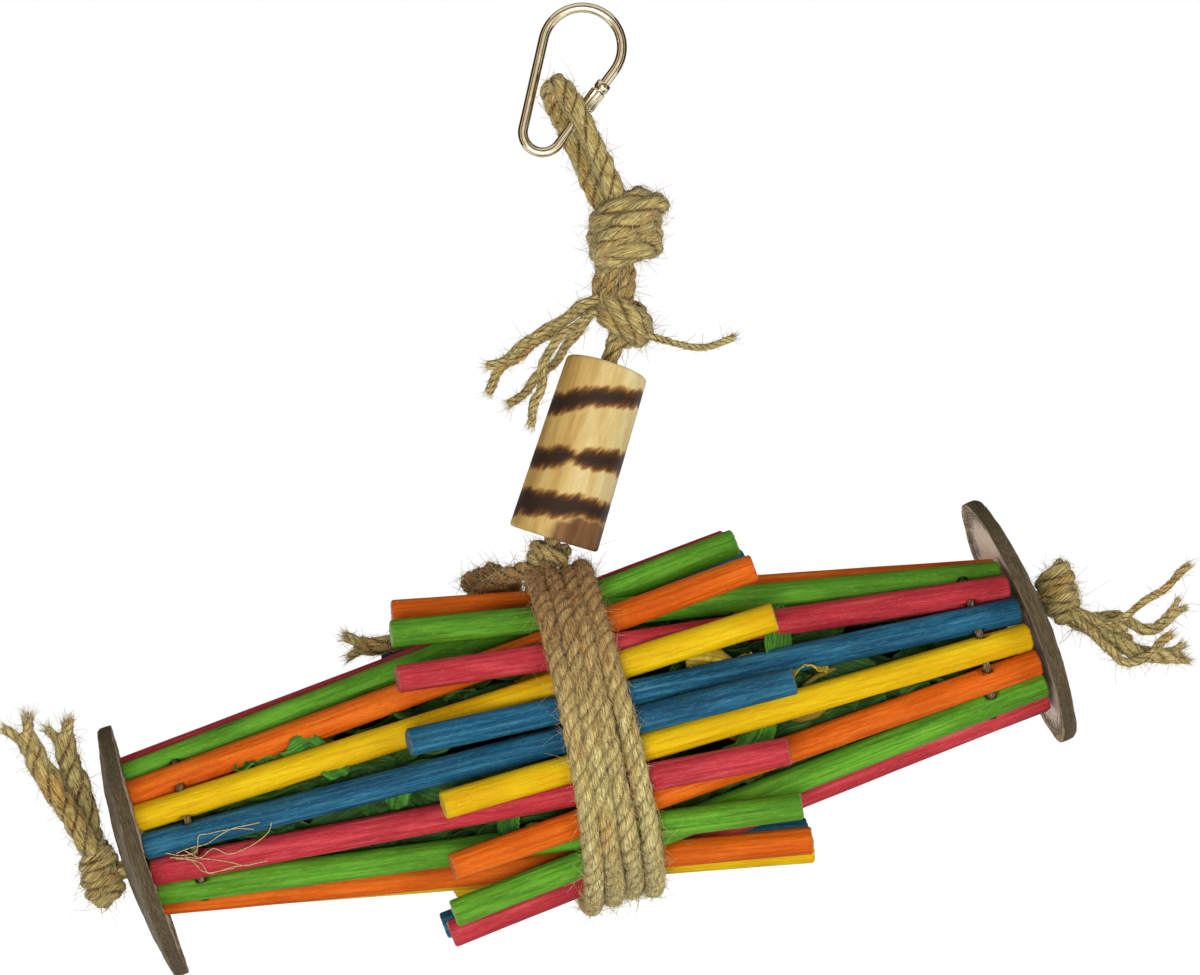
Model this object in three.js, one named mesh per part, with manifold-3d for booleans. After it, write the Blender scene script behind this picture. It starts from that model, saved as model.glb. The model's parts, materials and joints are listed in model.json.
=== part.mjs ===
// Hanging chew toy for cage birds. A quick link carries a knotted jute hanger with a scorched wood
// block on it. Below hangs a barrel of thirty dyed dowels, strung in two rings between two shell
// discs, bound round the middle with jute and stuffed with husk strips.
// Millimetres, +Z up, +X to the toy's right, -Y to the front.
// The origin is the inside of the link's big bow, where a hook carries the toy.
import * as THREE from 'three';
import { mergeVertices } from 'three/addons/utils/BufferGeometryUtils.js';
import Module from 'manifold-3d';

const wasm = await Module();
wasm.setup();

// Gap left between pieces that touch on the real toy
const CLEARANCE = 0.3;

// Quick link: bow radii are to the middle of the wire
const LINK_WIRE_DIAMETER = 2.8;
const LINK_BIG_BOW_RADIUS = 11.2;
const LINK_SMALL_BOW_RADIUS = 5.6;
const LINK_BOW_SPACING = 26.6;
const LINK_LEAN_DEG = 24.9;
const GATE_UPPER_END = 7;
const GATE_GAP = 4.5;
const SLEEVE_LENGTH = 9;
const SLEEVE_WALL = 0.6;
const SLEEVE_BORE_CLEARANCE = 0.2;
const SLEEVE_OVERLAP = 1.8;
const SLEEVE_COLLAR_LENGTH = 2;
const SLEEVE_COLLAR_STEP = 0.25;

// Jute hanger
const LOOP_ROPE_DIAMETER = 5.4;
const UPPER_KNOT_CENTRE = new THREE.Vector3(12, 0, -61.6);
const UPPER_KNOT_WIDTH = 21;
const UPPER_KNOT_HEIGHT = 26;
const NECK_LENGTH = 3.6;
const NECK_DIAMETER = 9;
const NECK_SHIFT = -1.5;
const LOWER_KNOT_WIDTH = 17;
const LOWER_KNOT_HEIGHT = 17;
const LOWER_KNOT_SHIFT = -0.5;
const TASSEL_DIAMETER = 2.4;
const STRAY_STRAND_DIAMETER = 1.8;
const CORE_CORD_DIAMETER = 5;
const CORE_CORD_END_GAP = 3.2;
const CORE_CORD_RISE = 1;
const CORE_CORD_KNOT_SHARE = 0.6;

// Wood block on the core cord
const BLOCK_LENGTH = 52.5;
const BLOCK_TOP_DIAMETER = 23.5;
const BLOCK_BOTTOM_DIAMETER = 26;
const BLOCK_BORE_DIAMETER = 7;
const BLOCK_LEAN_DEG = 17.3;
const BLOCK_TOP_GAP = 3.4;
const BLOCK_TOP_SHIFT = -4;
const BLOCK_EDGE_ROUND = 0.6;
const BLOCK_REST_GAP = 0.2;

// Barrel of dowels: stations are measured along its axis from the middle, right positive
const BARREL_TILT_DEG = 12.6;
const BARREL_YAW_DEG = 4;
const BARREL_LENGTH = 255;
const DOWELS_PER_SET = 15;
const DOWEL_DIAMETER = 7.6;
const DOWEL_GAP = 0.35;
const DOWEL_OVERHANG = 52;
const DOWEL_OVERHANG_STEPS = [0, 2.5, -2, 1.5, -3];
const LEFT_RING_TURN_DEG = -10;
const RIGHT_RING_TURN_DEG = 10;
const FIRST_LEFT_DOWEL_DEG = 4;
const RING_HOLE_INSET = 14;
const RING_CORD_DIAMETER = 2.4;
const RING_HOLE_DIAMETER = 3.8;
const AXLE_CORD_DIAMETER = 5.4;

// Winding round the middle of the barrel
const WRAP_CORD_DIAMETER = 5.6;
const WRAP_TURNS = 4;
const WRAP_TURN_GAP = 0.5;
const WRAP_STATION = 4;
const WRAP_START_DEG = 125;
const WRAP_STEPS_PER_TURN = 24;
const WRAP_SIDES = 6;
const WRAP_KNOT_LENGTH = 14;
const WRAP_KNOT_WIDTH = 12;
const WRAP_KNOT_BEARING_DEG = 122;
const WRAP_KNOT_TUCK = 0.7;
const WRAP_TAIL_DIAMETER = 4.6;

// End discs: shallow saucers, hollow side to the dowels
const DISC_DIAMETER = 72.6;
const DISC_THICKNESS = 4.7;
const DISC_SAGITTA = 4.5;
const DISC_HOLE_DIAMETER = 7.6;
const DISC_RINGS = 3;
const LEFT_DISC_TILT_DEG = 5;
const RIGHT_DISC_TILT_DEG = 9.5;
const LEFT_DISC_RISE = -4.5;
const RIGHT_DISC_RISE = 5;
const TAIL_KNOT_THICKNESS = 11.5;
const TAIL_KNOT_HEIGHT = 20;
const TAIL_KNOT_DROP = 3;
const LEFT_TAIL_DIAMETER = 5.2;

// Husk strips inside the barrel
const HUSK_WIDTH = 13;
const HUSK_THICKNESS = 1.2;
const HUSK_HALF_LENGTH = 84;
const HUSK_TURNS = 2.5;
const HUSK_WAVES = 11;
const HUSK_WAVE_HEIGHT = 1.6;
const HUSK_DRIFTS = 3;
const HUSK_DRIFT_SHARE = 0.45;

// Facets: sides of a round section, and steps or rings along it
const WIRE_SIDES = 10;
const LINK_STEPS = 48;
const BIG_BOW_STEPS = 16;
const SMALL_BOW_STEPS = 10;
const SLEEVE_SIDES = 16;
const KNOT_SIDES = 14;
const KNOT_RINGS = 8;
const CORD_SIDES = 8;
const ROPE_SIDES = 10;
const LOOP_STEPS = 36;
const STRAND_STEPS = 8;
const LONG_STRAND_STEPS = 10;
const SHORT_STRAND_STEPS = 6;
const NECK_SIDES = 12;
const BLOCK_SIDES = 24;
const DOWEL_SIDES = 12;
const HOLE_SIDES = 6;
const RING_CORD_SIDES = 6;
const RING_CORD_STEPS = 30;
const DISC_SIDES = 28;
const HUSK_STEPS = 66;

const radians = THREE.MathUtils.degToRad;
const point = (x, y, z) => new THREE.Vector3(x, y, z);

// Materials
function finish(color, roughness, metalness = 0) {
  return new THREE.MeshStandardMaterial({ color, roughness, metalness });
}

const NICKEL = finish('#b9b2a6', 0.22, 1);
const JUTE = finish('#ae9468', 0.95);
const PINE = finish('#dfc28a', 0.7);
const SHELL = finish('#6e5f4c', 0.85);
const GREEN_HUSK = finish('#3f8a2c', 0.85);
const YELLOW_HUSK = finish('#c9b23a', 0.85);
const DYES = {
  blue: finish('#1f6d94', 0.7),
  yellow: finish('#efca0c', 0.65),
  orange: finish('#e8701f', 0.65),
  green: finish('#54ad35', 0.68),
  red: finish('#c93c4c', 0.68),
};
const LEFT_DYE_ORDER = ['blue', 'yellow', 'orange', 'green', 'red'];
const RIGHT_DYE_ORDER = ['blue', 'red', 'green', 'orange', 'yellow'];

const toy = new THREE.Group();

function addPiece(parent, name, geometry, material) {
  const mesh = new THREE.Mesh(geometry, material);
  mesh.name = name;
  parent.add(mesh);
  return mesh;
}

// Boolean work: closed geometry to a solid and back
function toSolid(geometry) {
  const bare = geometry.clone();
  bare.deleteAttribute('normal');
  bare.deleteAttribute('uv');
  const merged = mergeVertices(bare, 1e-4);
  return new wasm.Manifold(new wasm.Mesh({
    numProp: 3,
    vertProperties: new Float32Array(merged.attributes.position.array),
    triVerts: new Uint32Array(merged.index.array),
  }));
}

function toGeometry(solid) {
  const mesh = solid.getMesh();
  const geometry = new THREE.BufferGeometry();
  geometry.setAttribute('position', new THREE.BufferAttribute(mesh.vertProperties, 3));
  geometry.setIndex(new THREE.BufferAttribute(mesh.triVerts, 1));
  geometry.computeVertexNormals();
  return geometry;
}

function cut(geometry, ...cutters) {
  return toGeometry(cutters.reduce((solid, cutter) => solid.subtract(toSolid(cutter)), toSolid(geometry)));
}

// Basic forms
function roundSection(radius, sides) {
  const section = new THREE.Shape();
  for (let side = 0; side < sides; side += 1) {
    const angle = (side * 2 * Math.PI) / sides;
    const step = side === 0 ? 'moveTo' : 'lineTo';
    section[step](radius * Math.cos(angle), radius * Math.sin(angle));
  }
  section.closePath();
  return section;
}

function tube(points, diameter, sides, steps) {
  const path = new THREE.CatmullRomCurve3(points, false, 'centripetal');
  return new THREE.ExtrudeGeometry(roundSection(diameter / 2, sides), {
    steps,
    bevelEnabled: false,
    extrudePath: path,
  });
}

function rod(start, end, diameter, sides) {
  const along = end.clone().sub(start);
  const geometry = new THREE.CylinderGeometry(diameter / 2, diameter / 2, along.length(), sides);
  const turn = new THREE.Quaternion().setFromUnitVectors(point(0, 1, 0), along.clone().normalize());
  geometry.applyQuaternion(turn);
  const middle = start.clone().add(end).multiplyScalar(0.5);
  return geometry.translate(middle.x, middle.y, middle.z);
}

function lathe(profile, sides) {
  const outline = profile.map(([radius, height]) => new THREE.Vector2(radius, height));
  return new THREE.LatheGeometry(outline, sides);
}

function aim(geometry, direction, place) {
  const turn = new THREE.Quaternion().setFromUnitVectors(point(0, 1, 0), direction.clone().normalize());
  geometry.applyQuaternion(turn);
  return geometry.translate(place.x, place.y, place.z);
}

function knotBall(centre, sizeX, sizeY, sizeZ, grow = 0) {
  const ball = new THREE.SphereGeometry(1, KNOT_SIDES, KNOT_RINGS);
  ball.rotateX(Math.PI / 2);
  ball.scale(sizeX / 2 + grow, sizeY / 2 + grow, sizeZ / 2 + grow);
  return ball.translate(centre.x, centre.y, centre.z);
}

// Quick link, in the XZ plane
const linkDown = point(-Math.sin(radians(LINK_LEAN_DEG)), 0, -Math.cos(radians(LINK_LEAN_DEG)));
const linkRight = point(-linkDown.z, 0, linkDown.x);
const bigBowCentre = point(0, 0, LINK_WIRE_DIAMETER / 2 - LINK_BIG_BOW_RADIUS);
const smallBowCentre = bigBowCentre.clone().addScaledVector(linkDown, LINK_BOW_SPACING);
const sideAngle = Math.asin((LINK_BIG_BOW_RADIUS - LINK_SMALL_BOW_RADIUS) / LINK_BOW_SPACING);

// A point on a bow, the angle counted from the link's right towards its top
function onBow(centre, radius, angle) {
  return centre.clone()
    .addScaledVector(linkRight, radius * Math.cos(angle))
    .addScaledVector(linkDown, -radius * Math.sin(angle));
}

const gateTop = onBow(bigBowCentre, LINK_BIG_BOW_RADIUS, -sideAngle);
const gateBottom = onBow(smallBowCentre, LINK_SMALL_BOW_RADIUS, -sideAngle);
const gateDown = gateBottom.clone().sub(gateTop).normalize();
const onGate = (distance) => gateTop.clone().addScaledVector(gateDown, distance);

function linkRoute() {
  const route = [onGate(GATE_UPPER_END), onGate(GATE_UPPER_END / 2)];
  for (let step = 0; step <= BIG_BOW_STEPS; step += 1) {
    const angle = -sideAngle + ((Math.PI + 2 * sideAngle) * step) / BIG_BOW_STEPS;
    route.push(onBow(bigBowCentre, LINK_BIG_BOW_RADIUS, angle));
  }
  const leftTop = route.at(-1);
  const leftBottom = onBow(smallBowCentre, LINK_SMALL_BOW_RADIUS, Math.PI + sideAngle);
  route.push(leftTop.clone().lerp(leftBottom, 1 / 3), leftTop.clone().lerp(leftBottom, 2 / 3));
  for (let step = 0; step <= SMALL_BOW_STEPS; step += 1) {
    const angle = Math.PI + sideAngle + ((Math.PI - 2 * sideAngle) * step) / SMALL_BOW_STEPS;
    route.push(onBow(smallBowCentre, LINK_SMALL_BOW_RADIUS, angle));
  }
  const lowerEnd = onGate(GATE_UPPER_END + GATE_GAP);
  route.push(gateBottom.clone().lerp(lowerEnd, 0.5), lowerEnd);
  return route;
}

addPiece(toy, 'link_wire', tube(linkRoute(), LINK_WIRE_DIAMETER, WIRE_SIDES, LINK_STEPS), NICKEL);

function sleeveGeometry() {
  const bore = LINK_WIRE_DIAMETER / 2 + SLEEVE_BORE_CLEARANCE;
  const outside = bore + SLEEVE_WALL;
  const collar = outside - SLEEVE_COLLAR_STEP;
  const collarFoot = SLEEVE_LENGTH - SLEEVE_COLLAR_LENGTH;
  const profile = [
    [bore, 0], [outside, 0], [outside, collarFoot], [collar, collarFoot],
    [collar, SLEEVE_LENGTH], [bore, SLEEVE_LENGTH], [bore, 0],
  ];
  const lowerEnd = onGate(GATE_UPPER_END + GATE_GAP + SLEEVE_OVERLAP);
  return aim(lathe(profile, SLEEVE_SIDES), gateDown.clone().negate(), lowerEnd);
}

addPiece(toy, 'link_sleeve', sleeveGeometry(), NICKEL);

// Knots of the hanger, each below the last
const lowerKnotCentre = UPPER_KNOT_CENTRE.clone().add(
  point(LOWER_KNOT_SHIFT, 0, -UPPER_KNOT_HEIGHT / 2 - NECK_LENGTH - LOWER_KNOT_HEIGHT / 2),
);
const upperKnot = (grow) => knotBall(
  UPPER_KNOT_CENTRE, UPPER_KNOT_WIDTH, UPPER_KNOT_WIDTH, UPPER_KNOT_HEIGHT, grow,
);
const lowerKnot = (grow) => knotBall(
  lowerKnotCentre, LOWER_KNOT_WIDTH, LOWER_KNOT_WIDTH, LOWER_KNOT_HEIGHT, grow,
);
addPiece(toy, 'upper_knot', upperKnot(0), JUTE);
addPiece(toy, 'lower_knot', lowerKnot(0), JUTE);

// Rope loop through the link: behind the wire on the left, in front of it on the right
const LOOP_ROUTE = [
  point(6.4, 2.9, -55.5), point(3.6, 3.1, -50.4), point(0.6, 3.9, -43.6), point(-2.4, 4.4, -37.4),
  point(-5.1, 4.5, -31.6), point(-7.7, 3.9, -26.4), point(-8.6, 2, -22.6), point(-7.2, -0.5, -20.6),
  point(-4.7, -3.4, -22.4), point(-1.9, -4.5, -27.2), point(0.8, -4.5, -32.4), point(3.6, -4, -38.3),
  point(6.7, -3.4, -45.2), point(9.4, -3.1, -51.4), point(11, -3, -56),
];
const loopRope = tube(LOOP_ROUTE, LOOP_ROPE_DIAMETER, CORD_SIDES, LOOP_STEPS);
addPiece(toy, 'hanger_loop', cut(loopRope, upperKnot(CLEARANCE)), JUTE);

// Short neck of bundled strands between the knots
const neckShift = point(NECK_SHIFT, 0, 0);
const neckStart = UPPER_KNOT_CENTRE.clone().add(neckShift);
const neckEnd = lowerKnotCentre.clone().add(neckShift);
const neck = rod(neckStart, neckEnd, NECK_DIAMETER, NECK_SIDES);
addPiece(toy, 'neck_cord', cut(neck, upperKnot(CLEARANCE), lowerKnot(CLEARANCE)), JUTE);

// Frayed strands that hang from the lower knot
const TASSEL_ROUTES = [
  [
    point(4.2, -5.4, -82.2), point(-4.2, -6.2, -85.7), point(-12.6, -7, -90.4),
    point(-20.4, -7, -95.5), point(-26.6, -6, -100),
  ],
  [
    point(3.6, -1.8, -84), point(-3.6, -2.6, -89), point(-11.2, -2.8, -95.2),
    point(-19.6, -2.4, -101.6), point(-26.9, -1.5, -107),
  ],
  [
    point(4.2, 2.2, -85.1), point(-2.8, 2.6, -91.4), point(-9, 3, -98.6),
    point(-15.6, 2.6, -105.2), point(-21, 2, -110),
  ],
  [
    point(5.3, -4.2, -88.4), point(-1.6, -6.4, -93.4), point(-7.8, -7, -101),
    point(-12.6, -6.2, -108.7), point(-16.6, -5, -115.9),
  ],
];
TASSEL_ROUTES.forEach((route, index) => {
  const strand = tube(route, TASSEL_DIAMETER, CORD_SIDES, STRAND_STEPS);
  addPiece(toy, `tassel_strand_${index + 1}`, cut(strand, lowerKnot(CLEARANCE)), JUTE);
});
const STRAY_ROUTE = [
  point(14, -3, -90.6), point(19.6, -3.4, -91.6), point(25.5, -3.6, -93.5),
  point(30.5, -3.6, -94.4), point(35.6, -3.4, -94.4), point(43.1, -3, -91.8),
];
const stray = tube(STRAY_ROUTE, STRAY_STRAND_DIAMETER, CORD_SIDES, LONG_STRAND_STEPS);
addPiece(toy, 'stray_strand', cut(stray, lowerKnot(CLEARANCE)), JUTE);

// Wood block, leaning with the cord that runs through its bore
const blockUp = point(Math.sin(radians(BLOCK_LEAN_DEG)), 0, Math.cos(radians(BLOCK_LEAN_DEG)));
const blockTop = lowerKnotCentre.clone().add(
  point(BLOCK_TOP_SHIFT, 0, -LOWER_KNOT_HEIGHT / 2 - BLOCK_TOP_GAP),
);
const blockBottom = blockTop.clone().addScaledVector(blockUp, -BLOCK_LENGTH);

function blockGeometry() {
  const bore = BLOCK_BORE_DIAMETER / 2;
  const foot = BLOCK_BOTTOM_DIAMETER / 2;
  const head = BLOCK_TOP_DIAMETER / 2;
  const profile = [
    [bore, 0], [foot - BLOCK_EDGE_ROUND, 0], [foot, BLOCK_EDGE_ROUND],
    [head, BLOCK_LENGTH - BLOCK_EDGE_ROUND], [head - BLOCK_EDGE_ROUND, BLOCK_LENGTH],
    [bore, BLOCK_LENGTH], [bore, 0],
  ];
  return aim(lathe(profile, BLOCK_SIDES), blockUp, blockBottom);
}

addPiece(toy, 'wood_block', blockGeometry(), PINE);

// Barrel sizes that follow from the dowels
const dowelRadius = DOWEL_DIAMETER / 2;
const dowelPitch = DOWEL_DIAMETER + DOWEL_GAP;
const setStep = (2 * Math.PI) / DOWELS_PER_SET;
const ringRadius = dowelPitch / (2 * Math.sin(setStep / 2));
const middleRadius = dowelPitch / (2 * Math.sin(setStep / 4));
const halfBarrel = BARREL_LENGTH / 2;
const leftSlope = (middleRadius - ringRadius) / (halfBarrel + WRAP_STATION);
const rightSlope = (middleRadius - ringRadius) / (halfBarrel - WRAP_STATION);
const flare = Math.max(leftSlope, rightSlope);

// Winding radius to the middle of its cord, wider where the crossed dowels spread
const wrapCordRadius = WRAP_CORD_DIAMETER / 2;
const wrapPitch = WRAP_CORD_DIAMETER + WRAP_TURN_GAP;
const wrapReach = (WRAP_TURNS / 2) * wrapPitch;
const dowelTop = (distance) => middleRadius + flare * distance + dowelRadius;
const wrapRadius = (station) => (
  dowelTop(Math.abs(station - WRAP_STATION) + wrapCordRadius) + CLEARANCE + wrapCordRadius
);

// Height of the faceted winding's crest at a station
const wrapCrest = (station) => (
  wrapRadius(station) * Math.cos(Math.PI / WRAP_STEPS_PER_TURN) + wrapCordRadius
);

// The barrel hangs below the block, with the block's low edge resting on the winding
const barrel = new THREE.Group();
barrel.rotation.set(0, -radians(BARREL_TILT_DEG), radians(BARREL_YAW_DEG), 'ZYX');
const barrelAxis = point(1, 0, 0).applyEuler(barrel.rotation);
const barrelUp = point(0, 0, 1).applyEuler(barrel.rotation);
const blockSlope = radians(BLOCK_LEAN_DEG + BARREL_TILT_DEG);
const blockEdgeDrop = (BLOCK_BOTTOM_DIAMETER / 2) * Math.sin(blockSlope);
const blockEdgeStation = WRAP_STATION + (BLOCK_BOTTOM_DIAMETER / 2) * Math.cos(blockSlope);
const blockBottomHeight = wrapCrest(blockEdgeStation) + blockEdgeDrop + BLOCK_REST_GAP;
barrel.position.copy(blockBottom)
  .addScaledVector(barrelUp, -blockBottomHeight)
  .addScaledVector(barrelAxis, -WRAP_STATION);
barrel.position.y = 0;
toy.add(barrel);

// Core cord from the lower knot through the block, ending just above the winding
function coreCord() {
  const foot = blockEdgeDrop + BLOCK_REST_GAP - CORE_CORD_END_GAP;
  const end = blockBottom.clone().addScaledVector(blockUp, -foot);
  const start = blockTop.clone().lerp(lowerKnotCentre, CORE_CORD_KNOT_SHARE);
  const aboveBlock = blockTop.clone().addScaledVector(blockUp, CORE_CORD_RISE);
  const route = [start, aboveBlock, blockTop.clone().lerp(blockBottom, 0.5), end];
  return cut(tube(route, CORE_CORD_DIAMETER, ROPE_SIDES, STRAND_STEPS), lowerKnot(CLEARANCE));
}

addPiece(toy, 'core_cord', coreCord(), JUTE);

// A place in the barrel: angles are counted from the front upwards
const aroundBarrel = (station, radius, angle) => (
  point(station, -radius * Math.cos(angle), radius * Math.sin(angle))
);

// End discs: centre of the hollow face, outward normal and depth of the hollow face at a radius
function discPlace(side, tiltDeg, rise) {
  const tilt = radians(tiltDeg);
  const normal = point(side * Math.cos(tilt), 0, side * Math.sin(tilt));
  const dowelRim = ringRadius + dowelRadius + Math.abs(rise);
  const hollow = DISC_SAGITTA * (dowelRim / (DISC_DIAMETER / 2)) ** 2;
  return { centre: point(side * (halfBarrel + hollow), 0, rise), normal };
}

const discHollow = (radius) => -DISC_SAGITTA * (radius / (DISC_DIAMETER / 2)) ** 2;
const leftDisc = discPlace(-1, LEFT_DISC_TILT_DEG, LEFT_DISC_RISE);
const rightDisc = discPlace(1, RIGHT_DISC_TILT_DEG, RIGHT_DISC_RISE);

function discGeometry(place) {
  const hole = DISC_HOLE_DIAMETER / 2;
  const rim = DISC_DIAMETER / 2;
  const rings = DISC_RINGS;
  const radii = Array.from({ length: rings + 1 }, (_, ring) => hole + ((rim - hole) * ring) / rings);
  const inside = radii.map((radius) => [radius, discHollow(radius)]);
  const outside = radii.map((radius) => [radius, discHollow(radius) + DISC_THICKNESS]).reverse();
  return aim(lathe([...inside, ...outside, inside[0]], DISC_SIDES), place.normal, place.centre);
}

addPiece(barrel, 'disc_left', discGeometry(leftDisc), SHELL);
addPiece(barrel, 'disc_right', discGeometry(rightDisc), SHELL);

// Moves a dowel's ring end back along its run until the end clears the disc's hollow face
function ringEnd(end, run, disc) {
  const rimPoint = point(0, end.y, end.z).setLength(dowelRadius).add(end);
  const offset = rimPoint.clone().sub(disc.centre);
  const height = offset.dot(disc.normal);
  const radius = offset.addScaledVector(disc.normal, -height).length();
  const room = discHollow(radius + dowelRadius) - CLEARANCE - dowelRadius * flare - height;
  return end.clone().addScaledVector(run, -room / Math.abs(run.dot(disc.normal)));
}

// One dowel: from its ring end past the winding to its free end, drilled for the ring cord
function dowelGeometry(side, angle, overhang) {
  const ringTurn = radians(side < 0 ? LEFT_RING_TURN_DEG : RIGHT_RING_TURN_DEG);
  const ringPlace = aroundBarrel(side * halfBarrel, ringRadius, angle + ringTurn);
  const middlePlace = aroundBarrel(WRAP_STATION, middleRadius, angle);
  const run = middlePlace.clone().sub(ringPlace).normalize();
  const start = ringEnd(ringPlace, run, side < 0 ? leftDisc : rightDisc);
  const end = middlePlace.clone().addScaledVector(run, overhang);
  const hole = ringPlace.clone().addScaledVector(run, RING_HOLE_INSET);
  const outward = point(0, hole.y, hole.z).normalize();
  const tangent = point(1, 0, 0).cross(outward);
  const drill = rod(
    hole.clone().addScaledVector(tangent, -DOWEL_DIAMETER),
    hole.clone().addScaledVector(tangent, DOWEL_DIAMETER),
    RING_HOLE_DIAMETER,
    HOLE_SIDES,
  );
  return { geometry: cut(rod(start, end, DOWEL_DIAMETER, DOWEL_SIDES), drill), hole };
}

function addDowelSet(name, side, firstAngle, dyeOrder) {
  let hole;
  for (let index = 0; index < DOWELS_PER_SET; index += 1) {
    const angle = firstAngle + index * setStep;
    const overhang = DOWEL_OVERHANG + DOWEL_OVERHANG_STEPS[(index * 2 + 1) % DOWEL_OVERHANG_STEPS.length];
    const dowel = dowelGeometry(side, angle, overhang);
    const number = String(index + 1).padStart(2, '0');
    addPiece(barrel, `${name}_${number}`, dowel.geometry, DYES[dyeOrder[index % dyeOrder.length]]);
    hole = dowel.hole;
  }
  return hole;
}

const firstLeft = radians(FIRST_LEFT_DOWEL_DEG);
const leftHole = addDowelSet('dowel_left', -1, firstLeft, LEFT_DYE_ORDER);
const rightHole = addDowelSet('dowel_right', 1, firstLeft + setStep / 2, RIGHT_DYE_ORDER);

// Cords that string each ring of dowels
function ringCord(hole) {
  const radius = Math.hypot(hole.y, hole.z);
  const ring = new THREE.TorusGeometry(radius, RING_CORD_DIAMETER / 2, RING_CORD_SIDES, RING_CORD_STEPS);
  return ring.rotateY(Math.PI / 2).translate(hole.x, 0, 0);
}

addPiece(barrel, 'ring_cord_left', ringCord(leftHole), JUTE);
addPiece(barrel, 'ring_cord_right', ringCord(rightHole), JUTE);

// Knots outside the discs, hanging a little below the holes
function tailKnotCentre(disc, drop) {
  const reach = DISC_THICKNESS + CLEARANCE + TAIL_KNOT_THICKNESS / 2;
  return disc.centre.clone().addScaledVector(disc.normal, reach).add(point(0, 0, drop));
}

const leftKnotCentre = tailKnotCentre(leftDisc, -TAIL_KNOT_DROP);
const rightKnotCentre = tailKnotCentre(rightDisc, TAIL_KNOT_DROP);

// The knot is trimmed by the disc's dished back, so the disc can turn against it
function tailKnot(centre, grow) {
  return knotBall(centre, TAIL_KNOT_THICKNESS, TAIL_KNOT_THICKNESS, TAIL_KNOT_HEIGHT, grow);
}

function discBlank(place) {
  const rim = DISC_DIAMETER / 2;
  const back = DISC_THICKNESS + CLEARANCE;
  const rings = DISC_RINGS;
  const crown = Array.from({ length: rings + 1 }, (_, ring) => (rim * ring) / rings)
    .map((radius) => [radius, discHollow(radius) + back])
    .reverse();
  const profile = [[0, -halfBarrel], [rim, -halfBarrel], ...crown];
  return aim(lathe(profile, DISC_SIDES), place.normal, place.centre);
}

addPiece(barrel, 'tail_knot_left', cut(tailKnot(leftKnotCentre, 0), discBlank(leftDisc)), JUTE);
addPiece(barrel, 'tail_knot_right', cut(tailKnot(rightKnotCentre, 0), discBlank(rightDisc)), JUTE);

// Axle cord through both discs and the middle of the barrel
const axleReach = DISC_THICKNESS + TAIL_KNOT_THICKNESS / 3;
const axle = cut(
  rod(
    leftDisc.centre.clone().addScaledVector(leftDisc.normal, axleReach),
    rightDisc.centre.clone().addScaledVector(rightDisc.normal, axleReach),
    AXLE_CORD_DIAMETER,
    ROPE_SIDES,
  ),
  tailKnot(leftKnotCentre, CLEARANCE),
  tailKnot(rightKnotCentre, CLEARANCE),
);
addPiece(barrel, 'axle_cord', axle, JUTE);

// Free rope ends past the tail knots: a route is measured from the middle of its knot
function freeEnd(route, knotCentre, knot, diameter, steps) {
  const points = route.map((place) => place.clone().add(knotCentre));
  return cut(tube(points, diameter, CORD_SIDES, steps), knot);
}

const LEFT_TAIL_ROUTES = [
  [
    point(-0.8, -3.2, 6.4), point(-3.7, -3.4, 16.8), point(-7, -3.8, 24.8),
    point(-9.8, -4.2, 34), point(-12.4, -4.5, 44.6),
  ],
  [
    point(-0.4, 3.2, 6.4), point(-0.4, 3.3, 18), point(-1.2, 3.4, 27),
    point(-1.9, 3.6, 35.2), point(-2.1, 4, 41.8),
  ],
];
const leftTailKnot = tailKnot(leftKnotCentre, CLEARANCE);
LEFT_TAIL_ROUTES.forEach((route, index) => {
  const strand = freeEnd(route, leftKnotCentre, leftTailKnot, LEFT_TAIL_DIAMETER, STRAND_STEPS);
  addPiece(barrel, `left_tail_${index + 1}`, strand, JUTE);
});
const RIGHT_TAILS = [
  {
    diameter: 2,
    route: [
      point(0.2, -3.2, -4.2), point(7, -3.7, -9), point(12.6, -3.8, -11.4),
      point(21.3, -3.4, -8.7), point(30.2, -2.6, -4.7), point(38.3, -2, -0.4),
    ],
  },
  {
    diameter: 3,
    route: [
      point(0.2, 3.4, -3.8), point(8.6, 3.9, -9), point(17.3, 4, -11.2),
      point(22, 3.6, -15.8), point(25.8, 3.2, -16.2), point(32.8, 2.6, -12.4),
    ],
  },
  {
    diameter: 4.2,
    route: [
      point(0.7, 0, -6.8), point(8.2, 0, -12.8), point(15.5, 0.3, -19.4),
      point(23.1, 0.2, -23.7), point(30.1, 0, -24.4),
    ],
  },
];
const rightTailKnot = tailKnot(rightKnotCentre, CLEARANCE);
RIGHT_TAILS.forEach(({ diameter, route }, index) => {
  const strand = freeEnd(route, rightKnotCentre, rightTailKnot, diameter, LONG_STRAND_STEPS);
  addPiece(barrel, `right_tail_${index + 1}`, strand, JUTE);
});

// Winding: one unbroken helix with a straight end of one diameter at each side
const WRAP_STEPS = WRAP_TURNS * WRAP_STEPS_PER_TURN;

function wrapCentre(step) {
  const share = step / WRAP_STEPS_PER_TURN;
  const station = WRAP_STATION - wrapReach + wrapPitch * share;
  return aroundBarrel(station, wrapRadius(station), radians(WRAP_START_DEG) + 2 * Math.PI * share);
}

function wrapCentres() {
  const centres = Array.from({ length: WRAP_STEPS + 1 }, (_, step) => wrapCentre(step));
  const nearStart = wrapCentre(0.1);
  const nearEnd = wrapCentre(WRAP_STEPS - 0.1);
  const before = centres[0].clone().sub(nearStart).setLength(WRAP_CORD_DIAMETER).add(centres[0]);
  const after = centres.at(-1).clone().sub(nearEnd).setLength(WRAP_CORD_DIAMETER).add(centres.at(-1));
  return [before, ...centres, after];
}

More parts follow.
